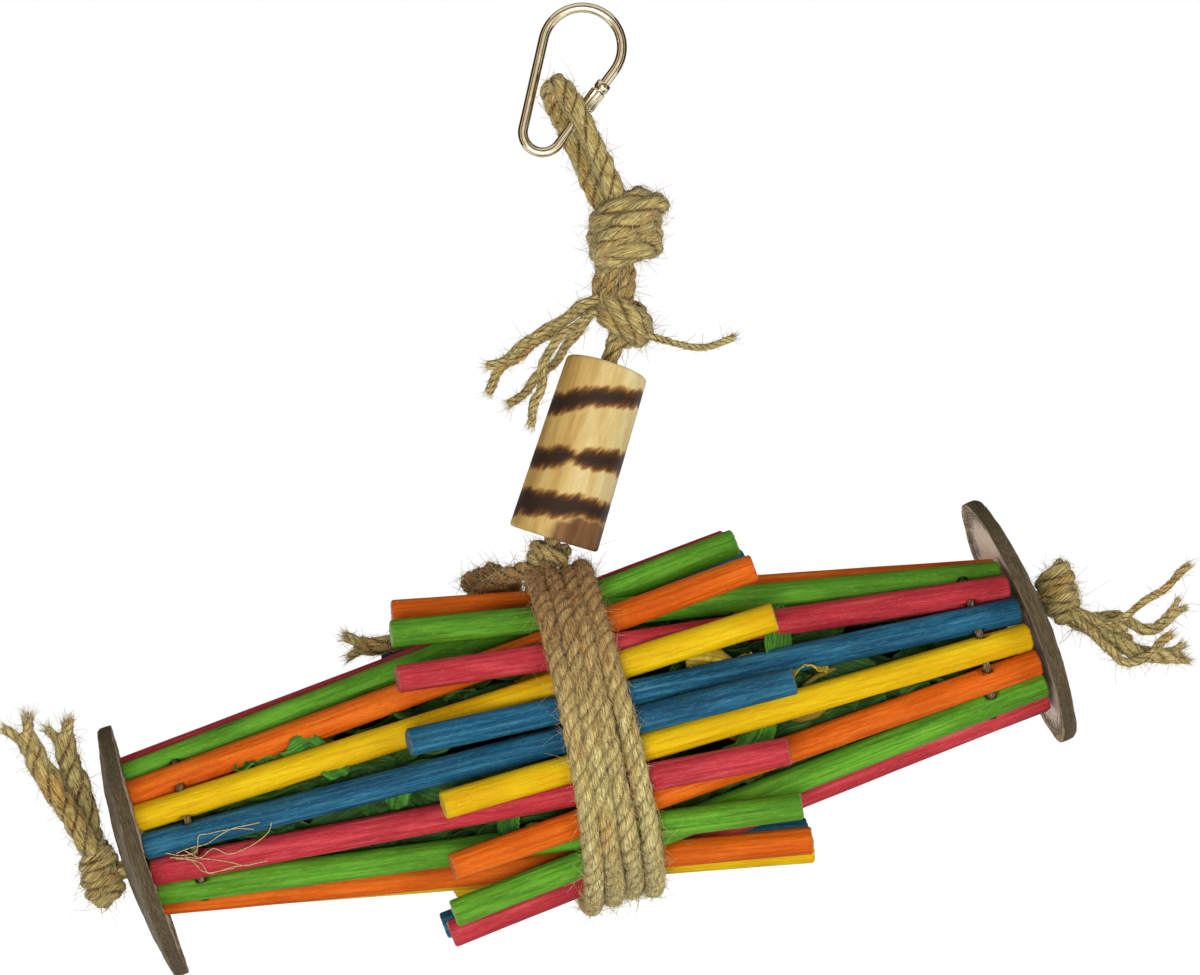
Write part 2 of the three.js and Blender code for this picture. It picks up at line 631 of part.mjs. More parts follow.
// Closed skin over rings of points, with a flat cap at each end
function skin(rings) {
  const sides = rings[0].length;
  const positions = rings.flat().flatMap((corner) => corner.toArray());
  const index = [];
  for (let ring = 0; ring + 1 < rings.length; ring += 1) {
    for (let side = 0; side < sides; side += 1) {
      const here = ring * sides + side;
      const next = ring * sides + ((side + 1) % sides);
      index.push(here, next, next + sides, here, next + sides, here + sides);
    }
  }
  const last = (rings.length - 1) * sides;
  for (let side = 1; side + 1 < sides; side += 1) {
    index.push(0, side + 1, side, last, last + side, last + side + 1);
  }
  const geometry = new THREE.BufferGeometry();
  geometry.setAttribute('position', new THREE.Float32BufferAttribute(positions, 3));
  geometry.setIndex(index);
  geometry.computeVertexNormals();
  return geometry;
}

function wrapGeometry(centres) {
  const rings = centres.map((centre, index) => {
    const from = centres[Math.max(index - 1, 0)];
    const to = centres[Math.min(index + 1, centres.length - 1)];
    const along = to.clone().sub(from).normalize();
    const outward = point(0, centre.y, centre.z).normalize();
    const across = along.clone().cross(outward).normalize();
    const up = across.clone().cross(along);
    return Array.from({ length: WRAP_SIDES }, (_, side) => {
      const angle = (2 * Math.PI * side) / WRAP_SIDES;
      return centre.clone()
        .addScaledVector(up, wrapCordRadius * Math.cos(angle))
        .addScaledVector(across, wrapCordRadius * Math.sin(angle));
    });
  });
  return skin(rings);
}

// Least gap of the winding to its own other turns
function leastGap(centres) {
  const apart = WRAP_STEPS_PER_TURN / 2;
  let least = Infinity;
  centres.forEach((centre, index) => {
    centres.slice(index + apart).forEach((other) => {
      least = Math.min(least, centre.distanceTo(other) - WRAP_CORD_DIAMETER);
    });
  });
  return least;
}

const wrapLine = wrapCentres();
addPiece(barrel, 'wrap_cord', wrapGeometry(wrapLine), JUTE);
console.log(`winding: least gap to itself ${leastGap(wrapLine).toFixed(3)} mm`);

// Knot and tail that tie off the winding behind the top of the barrel
const wrapKnotStation = WRAP_STATION - wrapReach - wrapCordRadius + WRAP_KNOT_TUCK - WRAP_KNOT_LENGTH / 2;
const wrapKnotSpread = WRAP_STATION - wrapKnotStation;
const wrapKnotRadius = dowelTop(wrapKnotSpread) + CLEARANCE + WRAP_KNOT_WIDTH / 2;
const wrapKnotCentre = aroundBarrel(wrapKnotStation, wrapKnotRadius, radians(WRAP_KNOT_BEARING_DEG));
const wrapKnot = (grow) => knotBall(
  wrapKnotCentre, WRAP_KNOT_LENGTH, WRAP_KNOT_WIDTH, WRAP_KNOT_WIDTH, grow,
);
addPiece(barrel, 'wrap_knot', wrapKnot(0), JUTE);
const WRAP_TAIL_ROUTE = [
  point(-2.7, -1.2, -1.2), point(-11.7, -2.8, -4.4), point(-20.7, -3.8, -6.2),
  point(-29.7, -4.2, -7), point(-39.7, -4.8, -5.2),
];
const wrapTail = freeEnd(
  WRAP_TAIL_ROUTE, wrapKnotCentre, wrapKnot(CLEARANCE), WRAP_TAIL_DIAMETER, SHORT_STRAND_STEPS,
);
addPiece(barrel, 'wrap_tail', wrapTail, JUTE);

// Husk strips: wavy ribbons that twist round the axle cord inside the dowels
function huskGeometry(phase) {
  const narrow = ringRadius - dowelRadius;
  const axleDrift = Math.max(Math.abs(LEFT_DISC_RISE), Math.abs(RIGHT_DISC_RISE)) / halfBarrel;
  const axleRadius = AXLE_CORD_DIAMETER / 2;
  const rings = Array.from({ length: HUSK_STEPS + 1 }, (_, step) => {
    const share = step / HUSK_STEPS;
    const station = HUSK_HALF_LENGTH * (2 * share - 1);
    const turn = phase + 2 * Math.PI * HUSK_TURNS * share;
    const inner = axleRadius + axleDrift * Math.abs(station) + HUSK_WAVE_HEIGHT + CLEARANCE;
    const room = narrow + flare * (halfBarrel - Math.abs(station) - Math.abs(WRAP_STATION)) - inner;
    const width = Math.min(HUSK_WIDTH, room - HUSK_WAVE_HEIGHT - CLEARANCE);
    const wave = HUSK_WAVE_HEIGHT * Math.sin(2 * Math.PI * HUSK_WAVES * share);
    const drift = HUSK_DRIFT_SHARE * Math.sin(2 * Math.PI * HUSK_DRIFTS * share + phase);
    const lift = inner + (room - width) * (0.5 + drift);
    return [[lift, -1], [lift, 1], [lift + width, 1], [lift + width, -1]].map(([radius, face]) => {
      const across = wave + (face * HUSK_THICKNESS) / 2;
      return point(
        station,
        -radius * Math.cos(turn) + across * Math.sin(turn),
        radius * Math.sin(turn) + across * Math.cos(turn),
      );
    });
  });
  return skin(rings);
}

addPiece(barrel, 'husk_strip_green', huskGeometry(0), GREEN_HUSK);
addPiece(barrel, 'husk_strip_yellow', huskGeometry(Math.PI), YELLOW_HUSK);

export default toy;
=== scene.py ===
"""Dresses the bird chew toy: link, jute ropes and knots, scorched block, dyed dowels, shell discs and husk.

Sizes are in millimetres, as in the solids, and become metres where a mesh is made.
"""
import json
import math
from collections import namedtuple

import bpy
import numpy as np
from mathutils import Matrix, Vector, noise


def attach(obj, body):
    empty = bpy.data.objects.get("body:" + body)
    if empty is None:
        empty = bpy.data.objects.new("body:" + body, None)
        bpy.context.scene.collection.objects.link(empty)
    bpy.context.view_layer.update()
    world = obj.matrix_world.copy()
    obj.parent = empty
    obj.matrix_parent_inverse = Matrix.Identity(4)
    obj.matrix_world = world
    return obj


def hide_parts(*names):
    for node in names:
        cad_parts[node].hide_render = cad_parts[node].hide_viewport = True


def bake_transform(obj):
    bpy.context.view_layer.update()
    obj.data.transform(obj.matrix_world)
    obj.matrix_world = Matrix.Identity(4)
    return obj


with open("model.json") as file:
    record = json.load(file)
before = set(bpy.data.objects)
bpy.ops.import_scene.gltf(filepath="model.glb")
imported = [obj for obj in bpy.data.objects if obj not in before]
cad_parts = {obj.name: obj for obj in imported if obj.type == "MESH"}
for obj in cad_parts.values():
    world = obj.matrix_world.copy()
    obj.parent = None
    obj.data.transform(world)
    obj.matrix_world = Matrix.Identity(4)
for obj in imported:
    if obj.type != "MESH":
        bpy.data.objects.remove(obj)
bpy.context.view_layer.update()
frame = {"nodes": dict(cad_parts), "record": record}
MM = 0.001
TURN = 2 * math.pi

# Camera: the middle of the photograph and the width that it shows at the toy
VIEW_CENTRE = (5.0, 0, -134.2)
VIEW_DISTANCE = 1700
VIEW_WIDTH = 339
SENSOR_WIDTH = 36


def add_camera():
    data = bpy.data.cameras.new("camera")
    data.sensor_width = SENSOR_WIDTH
    data.lens = SENSOR_WIDTH * VIEW_DISTANCE / VIEW_WIDTH
    camera = bpy.data.objects.new("camera", data)
    camera.location = Vector(VIEW_CENTRE) * MM - Vector((0, VIEW_DISTANCE * MM, 0))
    camera.rotation_euler = (math.pi / 2, 0, 0)
    bpy.context.collection.objects.link(camera)
    bpy.context.scene.camera = camera


add_camera()

# Vectors and lines
UPRIGHT = 0.8
CURVE_STEP = 0.5
SPAN_POINTS = 24


def unit(vector):
    vector = np.asarray(vector, float)
    return vector / np.linalg.norm(vector, axis=-1, keepdims=True)


def circle(sides):
    return np.arange(sides) * TURN / sides


def turned(angle, side, up):
    """Directions at angles counted from side towards up."""
    return np.cos(angle)[..., None] * side + np.sin(angle)[..., None] * up


def stacked(first, second, third):
    """Three values on the same points as one vector for each point."""
    return np.stack(np.broadcast_arrays(first, second, third), -1)


def square_to(direction):
    """Two directions square to one direction and to each other."""
    helper = (0, 1, 0) if abs(direction[1]) < UPRIGHT else (1, 0, 0)
    side = unit(np.cross(helper, direction))
    return side, np.cross(direction, side)


def arc_lengths(line):
    return np.concatenate([[0], np.cumsum(np.linalg.norm(np.diff(line, axis=0), axis=1))])


def even(line, step):
    """The line again with points about step apart."""
    along = arc_lengths(line)
    at = np.linspace(0, along[-1], max(2, int(round(along[-1] / step)) + 1))
    return np.stack([np.interp(at, along, line[:, axis]) for axis in range(3)], axis=1)


def smooth(points, step=CURVE_STEP):
    """A centripetal Catmull-Rom curve through a route's points."""
    points = np.asarray(points, float)
    points = np.vstack([2 * points[0] - points[1], points, 2 * points[-1] - points[-2]])
    gaps = np.linalg.norm(np.diff(points, axis=0), axis=1) ** 0.5
    share = np.linspace(0, 1, SPAN_POINTS, endpoint=False)[:, None]
    cubic = 2 * share**3 - 3 * share**2
    spans = []
    for index in range(1, len(points) - 2):
        before, start, end, after = points[index - 1 : index + 3]
        first, middle, last = gaps[index - 1 : index + 2]
        leave = (start - before) / first - (end - before) / (first + middle) + (end - start) / middle
        arrive = (end - start) / middle - (after - start) / (middle + last) + (after - end) / last
        spans.append(
            (cubic + 1) * start
            + (share**3 - 2 * share**2 + share) * leave * middle
            - cubic * end
            + (share**3 - share**2) * arrive * middle
        )
    return even(np.vstack(spans + [points[-2:-1]]), step)


def frames_along(line):
    """Tangent and two square directions at each point, carried along without twist."""
    tangent = unit(np.gradient(line, axis=0))
    side = np.empty_like(line)
    side[0] = -square_to(tangent[0])[0]
    for index in range(1, len(line)):
        carried = side[index - 1] - tangent[index] * np.dot(side[index - 1], tangent[index])
        side[index] = unit(carried)
    return tangent, side, np.cross(tangent, side)


def ripple(along, rng, wavelengths, height):
    """A smooth random wave along a line."""
    waves = [np.sin(TURN * (along / wave + rng.random())) for wave in wavelengths]
    return height * sum(waves) / len(waves)


# Meshes


def tube_faces(rings, sides, caps=True):
    """Faces of a tube whose rings of points follow one another."""
    ring = np.arange(rings - 1)[:, None] * sides
    here = np.arange(sides)[None, :]
    after = (here + 1) % sides
    quads = np.stack([ring + here, ring + after, ring + sides + after, ring + sides + here], -1)
    faces = quads.reshape(-1, 4).tolist()
    if caps:
        end = (rings - 1) * sides
        faces += [list(range(sides - 1, -1, -1)), list(range(end, end + sides))]
    return faces


def closed_faces(rings, sides):
    """Faces of a tube whose last ring joins its first one."""
    faces = tube_faces(rings, sides, caps=False)
    last = (rings - 1) * sides
    return faces + [[last + k, last + (k + 1) % sides, (k + 1) % sides, k] for k in range(sides)]


def joined(parts):
    """Points, faces and values of several meshes as those of one mesh."""
    points, faces, *values = zip(*parts)
    firsts = np.cumsum([0] + [len(group) for group in points]).tolist()
    moved = [[corner + first for corner in face] for first, group in zip(firsts, faces) for face in group]
    return np.concatenate(points), moved, *(np.concatenate(group) for group in values)


def add_mesh(name, points, faces, material, **attributes):
    """A smooth object from points in millimetres, with named values on its points."""
    mesh = bpy.data.meshes.new(name)
    mesh.from_pydata((np.asarray(points).reshape(-1, 3) * MM).tolist(), [], faces)
    for key, values in attributes.items():
        values = np.asarray(values, np.float32)
        vector = values.ndim > 1
        layer = mesh.attributes.new(key, "FLOAT_VECTOR" if vector else "FLOAT", "POINT")
        layer.data.foreach_set("vector" if vector else "value", values.ravel())
    mesh.shade_smooth()
    mesh.materials.append(material)
    piece = bpy.data.objects.new(name, mesh)
    bpy.context.collection.objects.link(piece)
    return piece


def swept(name, line, radius, sides, material):
    """A round tube with its own radius at each point of a line."""
    _, side, up = frames_along(line)
    angle = circle(sides)[None]
    radius = radius[:, None]
    points = line[:, None] + radius[..., None] * turned(angle, side[:, None], up[:, None])
    grain = stacked(arc_lengths(line)[:, None], radius * np.cos(angle), radius * np.sin(angle))
    return add_mesh(name, points, tube_faces(len(line), sides), material, grain=grain)


def dress(piece, body, slot, *nodes):
    """Puts a piece on its body and in place of its solids; slot is not used."""
    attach(piece, body)
    if nodes:
        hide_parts(*nodes)


def node_points(name):
    """The separate corners of a solid, in millimetres."""
    mesh = frame["nodes"][name].data
    points = np.empty(len(mesh.vertices) * 3)
    mesh.vertices.foreach_get("co", points)
    return np.unique(np.round(points.reshape(-1, 3) / MM, 3), axis=0)


# Materials


def srgb(red, green, blue):
    """A colour in 0-255 screen values as the linear colour of a socket, by the sRGB curve."""

    def linear(value):
        share = value / 255
        return share / 12.92 if share <= 0.04045 else ((share + 0.055) / 1.055) ** 2.4

    return (linear(red), linear(green), linear(blue), 1)


class Nodes:
    """Short calls for the nodes of a material or world; plain colours are in 0-255 screen values."""

    def __init__(self, owner, main, **sockets):
        owner.use_nodes = True
        self.owner = owner
        self.tree = owner.node_tree
        self.main = self.tree.nodes[main]
        self.set(**sockets)

    def put(self, value, socket):
        if isinstance(value, bpy.types.NodeSocket):
            self.tree.links.new(value, socket)
        elif socket.type == "RGBA" and len(value) == 3:
            socket.default_value = srgb(*value)
        else:
            socket.default_value = value

    def set(self, **sockets):
        """Sets or links sockets of the main node, and returns the material or world."""
        for key, value in sockets.items():
            self.put(value, self.main.inputs[key.replace("_", " ")])
        return self.owner

    def node(self, kind, inputs=(), **settings):
        """The outputs of a new node."""
        node = self.tree.nodes.new("ShaderNode" + kind)
        for key, value in settings.items():
            setattr(node, key, value)
        for key, value in dict(inputs).items():
            self.put(value, node.inputs[key])
        return node.outputs

    def value(self, name):
        return self.node("Attribute", attribute_name=name)["Fac"]

    def noise(self, stretch, scale=1.0, detail=3, roughness=0.6, source="grain"):
        """Noise in a mesh's grain, stretched along its axes."""
        place = self.node("Attribute", attribute_name=source)["Vector"]
        vector = self.node("VectorMath", {0: place, 1: stretch}, operation="MULTIPLY")[0]
        inputs = {"Vector": vector, "Scale": scale, "Detail": detail, "Roughness": roughness}
        return self.node("TexNoise", inputs)[0]

    def math(self, operation, first, second=0.0, third=0.0, clamp=False):
        inputs = {0: first, 1: second, 2: third}
        return self.node("Math", inputs, operation=operation, use_clamp=clamp)[0]

    def ramp(self, value, *stops):
        output = self.node("ValToRGB", {"Fac": value})[0]
        elements = output.node.color_ramp.elements
        while len(elements) < len(stops):
            elements.new(0.5)
        for element, (place, colour) in zip(elements, stops):
            element.position = place
            element.color = srgb(*colour)
        return output

    def step(self, value, low, high):
        """0 below low, 1 above high and smooth between."""
        inputs = {"Value": value, "From Min": low, "From Max": high}
        return self.node("MapRange", inputs, interpolation_type="SMOOTHSTEP")[0]

    def mix(self, share, first, second, blend="MIX"):
        inputs = {0: share, 6: first, 7: second}
        return self.node("Mix", inputs, data_type="RGBA", blend_type=blend)[2]

    def tint(self, colour, value, low, high, share, tone, blend="MIX"):
        """The colour with a share of a tone where a value goes from low to high."""
        return self.mix(self.math("MULTIPLY", self.step(value, low, high), share), colour, tone, blend)

    def bump(self, height, distance, strength=1.0):
        return self.node("Bump", {"Height": height, "Distance": distance * MM, "Strength": strength})[0]

    def seen_rays(self):
        """1 for rays from the camera and through mirrors and glass."""
        path = self.node("LightPath")
        seen = self.math("MAXIMUM", path["Is Camera Ray"], path["Is Glossy Ray"])
        return self.math("MAXIMUM", seen, path["Is Transmission Ray"])


def finish(name, **sockets):
    return Nodes(bpy.data.materials.new(name), "Principled BSDF", **sockets)


EVEN_GRAIN = (1, 1, 1)


def jute_finish(name, dark, middle, light, shade=0.75):
    """Twisted plant fibre: streaks along each ply, patches of tone, painted shade in the grooves by the shade
    share, and painted shade where the brown value is given.
    """
    f = finish(name, Roughness=0.92, Specular_IOR_Level=0.2, Sheen_Weight=0.15, Sheen_Roughness=0.6)
    fibre = f.noise(EVEN_GRAIN, 2.6, 5, 0.7)
    fine = f.noise(EVEN_GRAIN, 7.0, 2)
    patch = f.noise((1, 0.3, 0.3), 0.35, 2)
    colour = f.ramp(fibre, (0.37, dark), (0.5, middle), (0.62, light))
    colour = f.mix(f.step(patch, 0.5, 0.72), colour, (250, 222, 192), "MULTIPLY")
    # Painted shade: darker and browner where the brown value rises
    colour = f.mix(f.value("brown"), colour, (230, 192, 168), "MULTIPLY")
    # Painted shade: the ply grooves darken by the shade share
    colour = f.tint(colour, f.value("groove"), 0.3, 0.9, shade, (150, 122, 84), "MULTIPLY")
    height = f.math("MULTIPLY_ADD", fibre, 0.7, f.math("MULTIPLY", fine, 0.3))
    return f.set(Base_Color=colour, Normal=f.bump(height, 0.55))


# A fifth value is the rope's share of painted shade in its ply grooves; without it the share is 0.75
JUTE = jute_finish("jute", (92, 66, 24), (186, 163, 94), (238, 222, 152), 0.95)
PALE_JUTE = jute_finish("jute_pale", (104, 80, 34), (202, 184, 112), (245, 233, 170), 0.55)
FUZZ = jute_finish("jute_fuzz", (140, 110, 52), (220, 202, 132), (246, 233, 174))
STRING = jute_finish("string", (70, 50, 26), (122, 98, 62), (172, 150, 106))

# Ropes: plies laid round one another
ROPE_LAY = 2.8
ROPE_STEP = 0.55
ROPE_PLIES = 3
PLY_SIDES = 9
ROPE_SIDES = ROPE_PLIES * PLY_SIDES
GROOVE_DEPTH = 0.36
ROPE_SWELL = 0.07
PLY_SWELL = 0.08
TWIST_UNEVEN = 0.7
SKIN_ROUGHNESS = 0.018
STREAK_DEPTH = 0.03
STREAK_REACH = 9
CUT_END_SHARE = 0.55
GRAIN_STRETCH = 0.12

fuzz_ropes = {}
free_ends = {"hanger_low": [], "barrel": []}


def streaks(rng, rows, columns):
    """Random values that run on along each column, as fibres run along a ply."""
    field = rng.normal(0, 1, (rows + STREAK_REACH - 1, columns))
    totals = np.cumsum(np.vstack([np.zeros((1, columns)), field]), axis=0)
    return (totals[STREAK_REACH:] - totals[:-STREAK_REACH]) / math.sqrt(STREAK_REACH)


def rope_skin(line, diameter, rng):
    """Points, faces, grain and groove depths of one rope along a line."""
    along = arc_lengths(line)
    widths = along / diameter
    size = (len(line), ROPE_SIDES)
    _, side, up = frames_along(line)
    angle = circle(ROPE_SIDES)
    wedge = math.pi / ROPE_PLIES
    within = angle % (2 * wedge) - wedge
    ply = math.sin(wedge) / (1 + math.sin(wedge))
    lobe = (1 - ply) * np.cos(within) + np.sqrt(np.maximum(ply**2 - ((1 - ply) * np.sin(within)) ** 2, 0))
    swell = 1 + ripple(widths, rng, (2.3, 5.1, 9.7), ROPE_SWELL)
    rough = 1 + rng.normal(0, SKIN_ROUGHNESS, size) + STREAK_DEPTH * streaks(rng, *size)
    full = np.column_stack([1 + ripple(widths, rng, (2.7, 6.1), PLY_SWELL) for _ in range(ROPE_PLIES)])
    radius = diameter / 2 * (1 - GROOVE_DEPTH * (1 - lobe)) * swell[:, None] * rough
    radius = radius * np.repeat(full, PLY_SIDES, axis=1)
    radius[[0, -1]] *= CUT_END_SHARE
    twist = TURN * widths / ROPE_LAY + ripple(widths, rng, (3.1, 7.3), TWIST_UNEVEN)
    place = angle + twist[:, None]
    points = line[:, None] + radius[..., None] * turned(place, side[:, None], up[:, None])
    fibre = GRAIN_STRETCH * along[:, None] + rng.uniform(0, 50)
    grain = stacked(fibre, diameter / 2 * np.cos(place), diameter / 2 * np.sin(place))
    groove = np.broadcast_to((lobe.max() - lobe) / np.ptp(lobe), size)
    return points.reshape(-1, 3), tube_faces(*size), grain.reshape(-1, 3), groove.ravel()


def rope(name, lines, diameter, body, nodes=(), seed=1, fuzzy=True, ride=True, material=JUTE, brown=None):
    """One object of one or more ropes; lines are in millimetres, and brown gives the painted shade at a
    place.
    """
    rng = np.random.default_rng(seed)
    lines = [even(line, min(ROPE_STEP, diameter / 5)) for line in lines]
    points, faces, grain, groove = joined([rope_skin(line, diameter, rng) for line in lines])
    if fuzzy:
        fuzz_ropes.setdefault(body, []).extend((line, diameter) for line in lines)
    # The brown value carries painted shade
    tone = {"brown": brown(points)} if brown else {}
    piece = add_mesh(name, points, faces, material, grain=grain, groove=groove, **tone)
    if ride:
        dress(piece, body, "jute", *nodes)
    return piece


# Opened ends: a ply's thickness, setback, root and way out are shares of the rope's diameter
SPLAY_PLIES = 3
SPLAY_SHARE = 0.56
SPLAY_SETBACK = 0.8
SPLAY_ROOT = 0.16
SPLAY_OUT = 0.22
SPLAY_SPREAD = 0.5
SPLAY_STEP = 0.4
SPLAY_TURN = 0.5
SPLAY_REACH = (0.75, 1.1)
# A ply's later points: share of its reach and share of its spread
SPLAY_SHAPE = [(0.5, 0.3), (1, 0.9)]
# Free cords: drawn thicker than declared, with waves that grow over the first millimetres
CORD_SWELL = 1.14
CORD_EASE = 8
END_SEED = 1000


def opened_end(name, line, diameter, length, body, seed):
    """Plies that come apart at a rope's end."""
    rng = np.random.default_rng(seed)
    tangent, side, up = (directions[-1] for directions in frames_along(line))
    start = line[-1] - tangent * diameter * SPLAY_SETBACK
    routes = []
    for index in range(SPLAY_PLIES):
        turn = TURN * index / SPLAY_PLIES + rng.uniform(-SPLAY_TURN, SPLAY_TURN)
        outward = math.cos(turn) * side + math.sin(turn) * up
        reach = length * rng.uniform(*SPLAY_REACH)
        route = [start + outward * diameter * SPLAY_ROOT]
        for share, bow in SPLAY_SHAPE:
            out = diameter * SPLAY_OUT + SPLAY_SPREAD * reach * bow
            route.append(start + tangent * reach * share + outward * out)
        routes.append(smooth(route, SPLAY_STEP))
    free_ends[body] += [(route, diameter * SPLAY_SHARE) for route in routes]
    return rope(name, routes, diameter * SPLAY_SHARE, body, (), seed)


def free_cord(
    name, route, diameter, body, seed, wave=0.3, opening=0, swell=CORD_SWELL
):
    """A rope with a free end; opening is the length of its opened end."""
    line = smooth(route, ROPE_STEP)
    rng = np.random.default_rng(seed)
    _, side, up = frames_along(line)
    along = arc_lengths(line)
    ease = np.clip(along / CORD_EASE, 0, 1)[:, None]
    line = line + ease * ripple(along, rng, (11, 17, 29), wave)[:, None] * side
    line = line + ease * ripple(along, rng, (9, 19, 31), wave)[:, None] * up
    if name in frame["nodes"]:
        piece = rope(f"{name}_rope", [line], diameter * swell, body, [name], seed)
    else:
        piece = rope(name, [line], diameter * swell, body, (), seed)
    if opening:
        opened_end(f"{piece.name}_end", line, diameter, opening, body, seed + END_SEED)
    else:
        free_ends[body].append((line, diameter))


# Barrel frame: stations run along its axis, right positive
BARREL_TILT = math.radians(12.6)
BARREL_YAW = math.radians(4)
BARREL_LENGTH = 255
HALF_BARREL = BARREL_LENGTH / 2
DOWELS_PER_SET = 15
DOWEL_DIAMETER = 7.6
DOWEL_GAP = 0.35
RING_TURN = math.radians(10)
WRAP_STATION = 4
DISC_DIAMETER = 72.6
DISC_THICKNESS = 4.7
DISC_SAGITTA = 4.5
DISC_HOLE_DIAMETER = 7.6
CLEARANCE = 0.3
Disc = namedtuple("Disc", "side rise tilt flatter lean")
# Each disc's end of the barrel, its rise and tilt, how much less it curves from front to back, and its lean
DISCS = {
    "left": Disc(-1, -4.5, math.radians(5), 0.25, 0),
    "right": Disc(1, 5, math.radians(9.5), 0.15, math.radians(0.4)),
}

dowel_radius = DOWEL_DIAMETER / 2
half_step = math.pi / DOWELS_PER_SET
ring_radius = (DOWEL_DIAMETER + DOWEL_GAP) / (2 * math.sin(half_step))
middle_radius = (DOWEL_DIAMETER + DOWEL_GAP) / (2 * math.sin(half_step / 2))
flare = (middle_radius - ring_radius) / (HALF_BARREL - WRAP_STATION)


def joint(name):
    return next(j for j in frame["record"]["behaviour"]["joints"] if j["name"] == name)


def disc_centre(disc):
    """The middle of a disc's hollow face in the barrel's frame."""
    rim = ring_radius + dowel_radius + abs(disc.rise)
    station = HALF_BARREL + DISC_SAGITTA * (rim / (DISC_DIAMETER / 2)) ** 2
    return np.array([disc.side * station, 0, disc.rise])


cos_tilt, sin_tilt = math.cos(BARREL_TILT), math.sin(BARREL_TILT)
cos_yaw, sin_yaw = math.cos(BARREL_YAW), math.sin(BARREL_YAW)
barrel_turn = np.array([[cos_yaw, -sin_yaw, 0], [sin_yaw, cos_yaw, 0], [0, 0, 1]]) @ np.array(
    [[cos_tilt, 0, -sin_tilt], [0, 1, 0], [sin_tilt, 0, cos_tilt]]
)
left_disc_place = np.array(joint("left_disc_spin")["pos_m"]) / MM
barrel_place = left_disc_place - barrel_turn @ disc_centre(DISCS["left"])


def to_world(points):
    """Points in the barrel's frame as places in the toy's frame."""
    return barrel_place + np.asarray(points, float) @ barrel_turn.T


def to_barrel(points):
    return (np.asarray(points, float) - barrel_place) @ barrel_turn


def around_barrel(station, radius, angle):
    """A place in the barrel, its angle counted from the front upwards."""
    return stacked(station, -radius * np.cos(angle), radius * np.sin(angle))


# Free cords: the tassels and the loose strand of the lower knot, and the rope ends
TASSEL_DIAMETER = 2.4
TASSEL_ROUTES = [
    [(4.6, -4.6, -80.4), (-2.8, -6, -84.4), (-8.6, -6.8, -88.8), (-16.8, -7, -94.2), (-26.6, -6, -100.4)],
    [(3.8, -1.8, -81.6), (-5.6, -2.6, -87.6), (-15, -2.8, -95), (-22.2, -2.4, -100.6), (-26.9, -1.5, -107.4)],
    [(4, 2.2, -82.6), (-2.2, 3.8, -91.3), (-8, 4.2, -98.9), (-14.6, 3.4, -104.9), (-21, 2, -110.8)],
    [(4, -4.2, -84.4), (-5.2, -6.8, -91), (-9.6, -7.4, -97.4), (-12.2, -6.6, -105.6), (-14.8, -5, -116.8)],
]
STRAY_DIAMETER = 1.8
STRAY_ROUTE = [
    (14, -3, -90.6), (19.6, -3.4, -91.6), (25.5, -3.6, -93.5),
    (30.5, -3.6, -94.4), (35.6, -3.4, -94.4), (43.1, -3, -91.8),
]
LEFT_TAIL_DIAMETER = 5.2
LEFT_TAIL_ROUTES = [
    [(-0.8, -3.2, 6.4), (-3.7, -3.4, 16.8), (-7, -3.8, 24.8), (-9.8, -4.2, 34), (-12.4, -4.5, 44.6)],
    [(-0.4, 3.2, 6.4), (-0.4, 3.3, 18), (-1.2, 3.4, 27), (-1.9, 3.6, 35.2), (-2.1, 4, 41.8)],
]
RIGHT_TAILS = [
    (2, [(0.2, -3.2, -4.2), (7, -3.7, -9), (12.6, -3.8, -11.4),
         (21.3, -3.4, -8.7), (30.2, -2.6, -4.7), (38.3, -2, -0.4)]),
    (3, [(0.2, 3.4, -3.8), (8.6, 3.9, -9), (17.3, 4, -11.2),
         (22, 3.6, -15.8), (25.8, 3.2, -16.2), (32.8, 2.6, -12.4)]),
    (4.2, [(0.7, 0, -6.8), (8.2, 0, -12.8), (15.5, 0.3, -19.4), (23.1, 0.2, -23.7), (30.1, 0, -24.4)]),
]
# One ply of the right tails curls down and back; it has no solid of its own
RIGHT_LOOP_DIAMETER = 2.4
RIGHT_LOOP_ROUTE = [
    (137.5, 6, -169.4), (141, 5.4, -172.6), (144.8, 5, -175.6), (149.4, 5, -180.2), (152.9, 5.2, -183.2),
    (156.4, 5.6, -183.6), (160.8, 6, -181.6), (164, 6.4, -178), (167.4, 6.6, -176.2),
]
WRAP_TAIL_DIAMETER = 4.6
WRAP_TAIL_ROUTE = [
    (-2.7, -1.2, -1.2), (-11.7, -2.8, -4.4), (-20.7, -3.8, -6.2), (-29.7, -4.2, -7), (-39.7, -4.8, -5.2),
]
TAIL_KNOT_THICKNESS = 11.5
TAIL_KNOT_DROP = 3
WRAP_CORD_DIAMETER = 5.6
WRAP_TURNS = 4
WRAP_TURN_GAP = 0.5
WRAP_START = math.radians(125)
WRAP_KNOT_LENGTH = 14
WRAP_KNOT_WIDTH = 12
WRAP_KNOT_BEARING = math.radians(122)
WRAP_KNOT_TUCK = 0.7


def disc_normal(disc):
    return disc.side * np.array([math.cos(disc.tilt), 0, math.sin(disc.tilt)])


def tail_knot_centre(disc):
    reach = DISC_THICKNESS + CLEARANCE + TAIL_KNOT_THICKNESS / 2
    return disc_centre(disc) + reach * disc_normal(disc) + (0, 0, disc.side * TAIL_KNOT_DROP)


def dowel_top(distance):
    """How far the dowels' outside is from the axis, at a distance from the winding's middle."""
    return middle_radius + flare * distance + dowel_radius


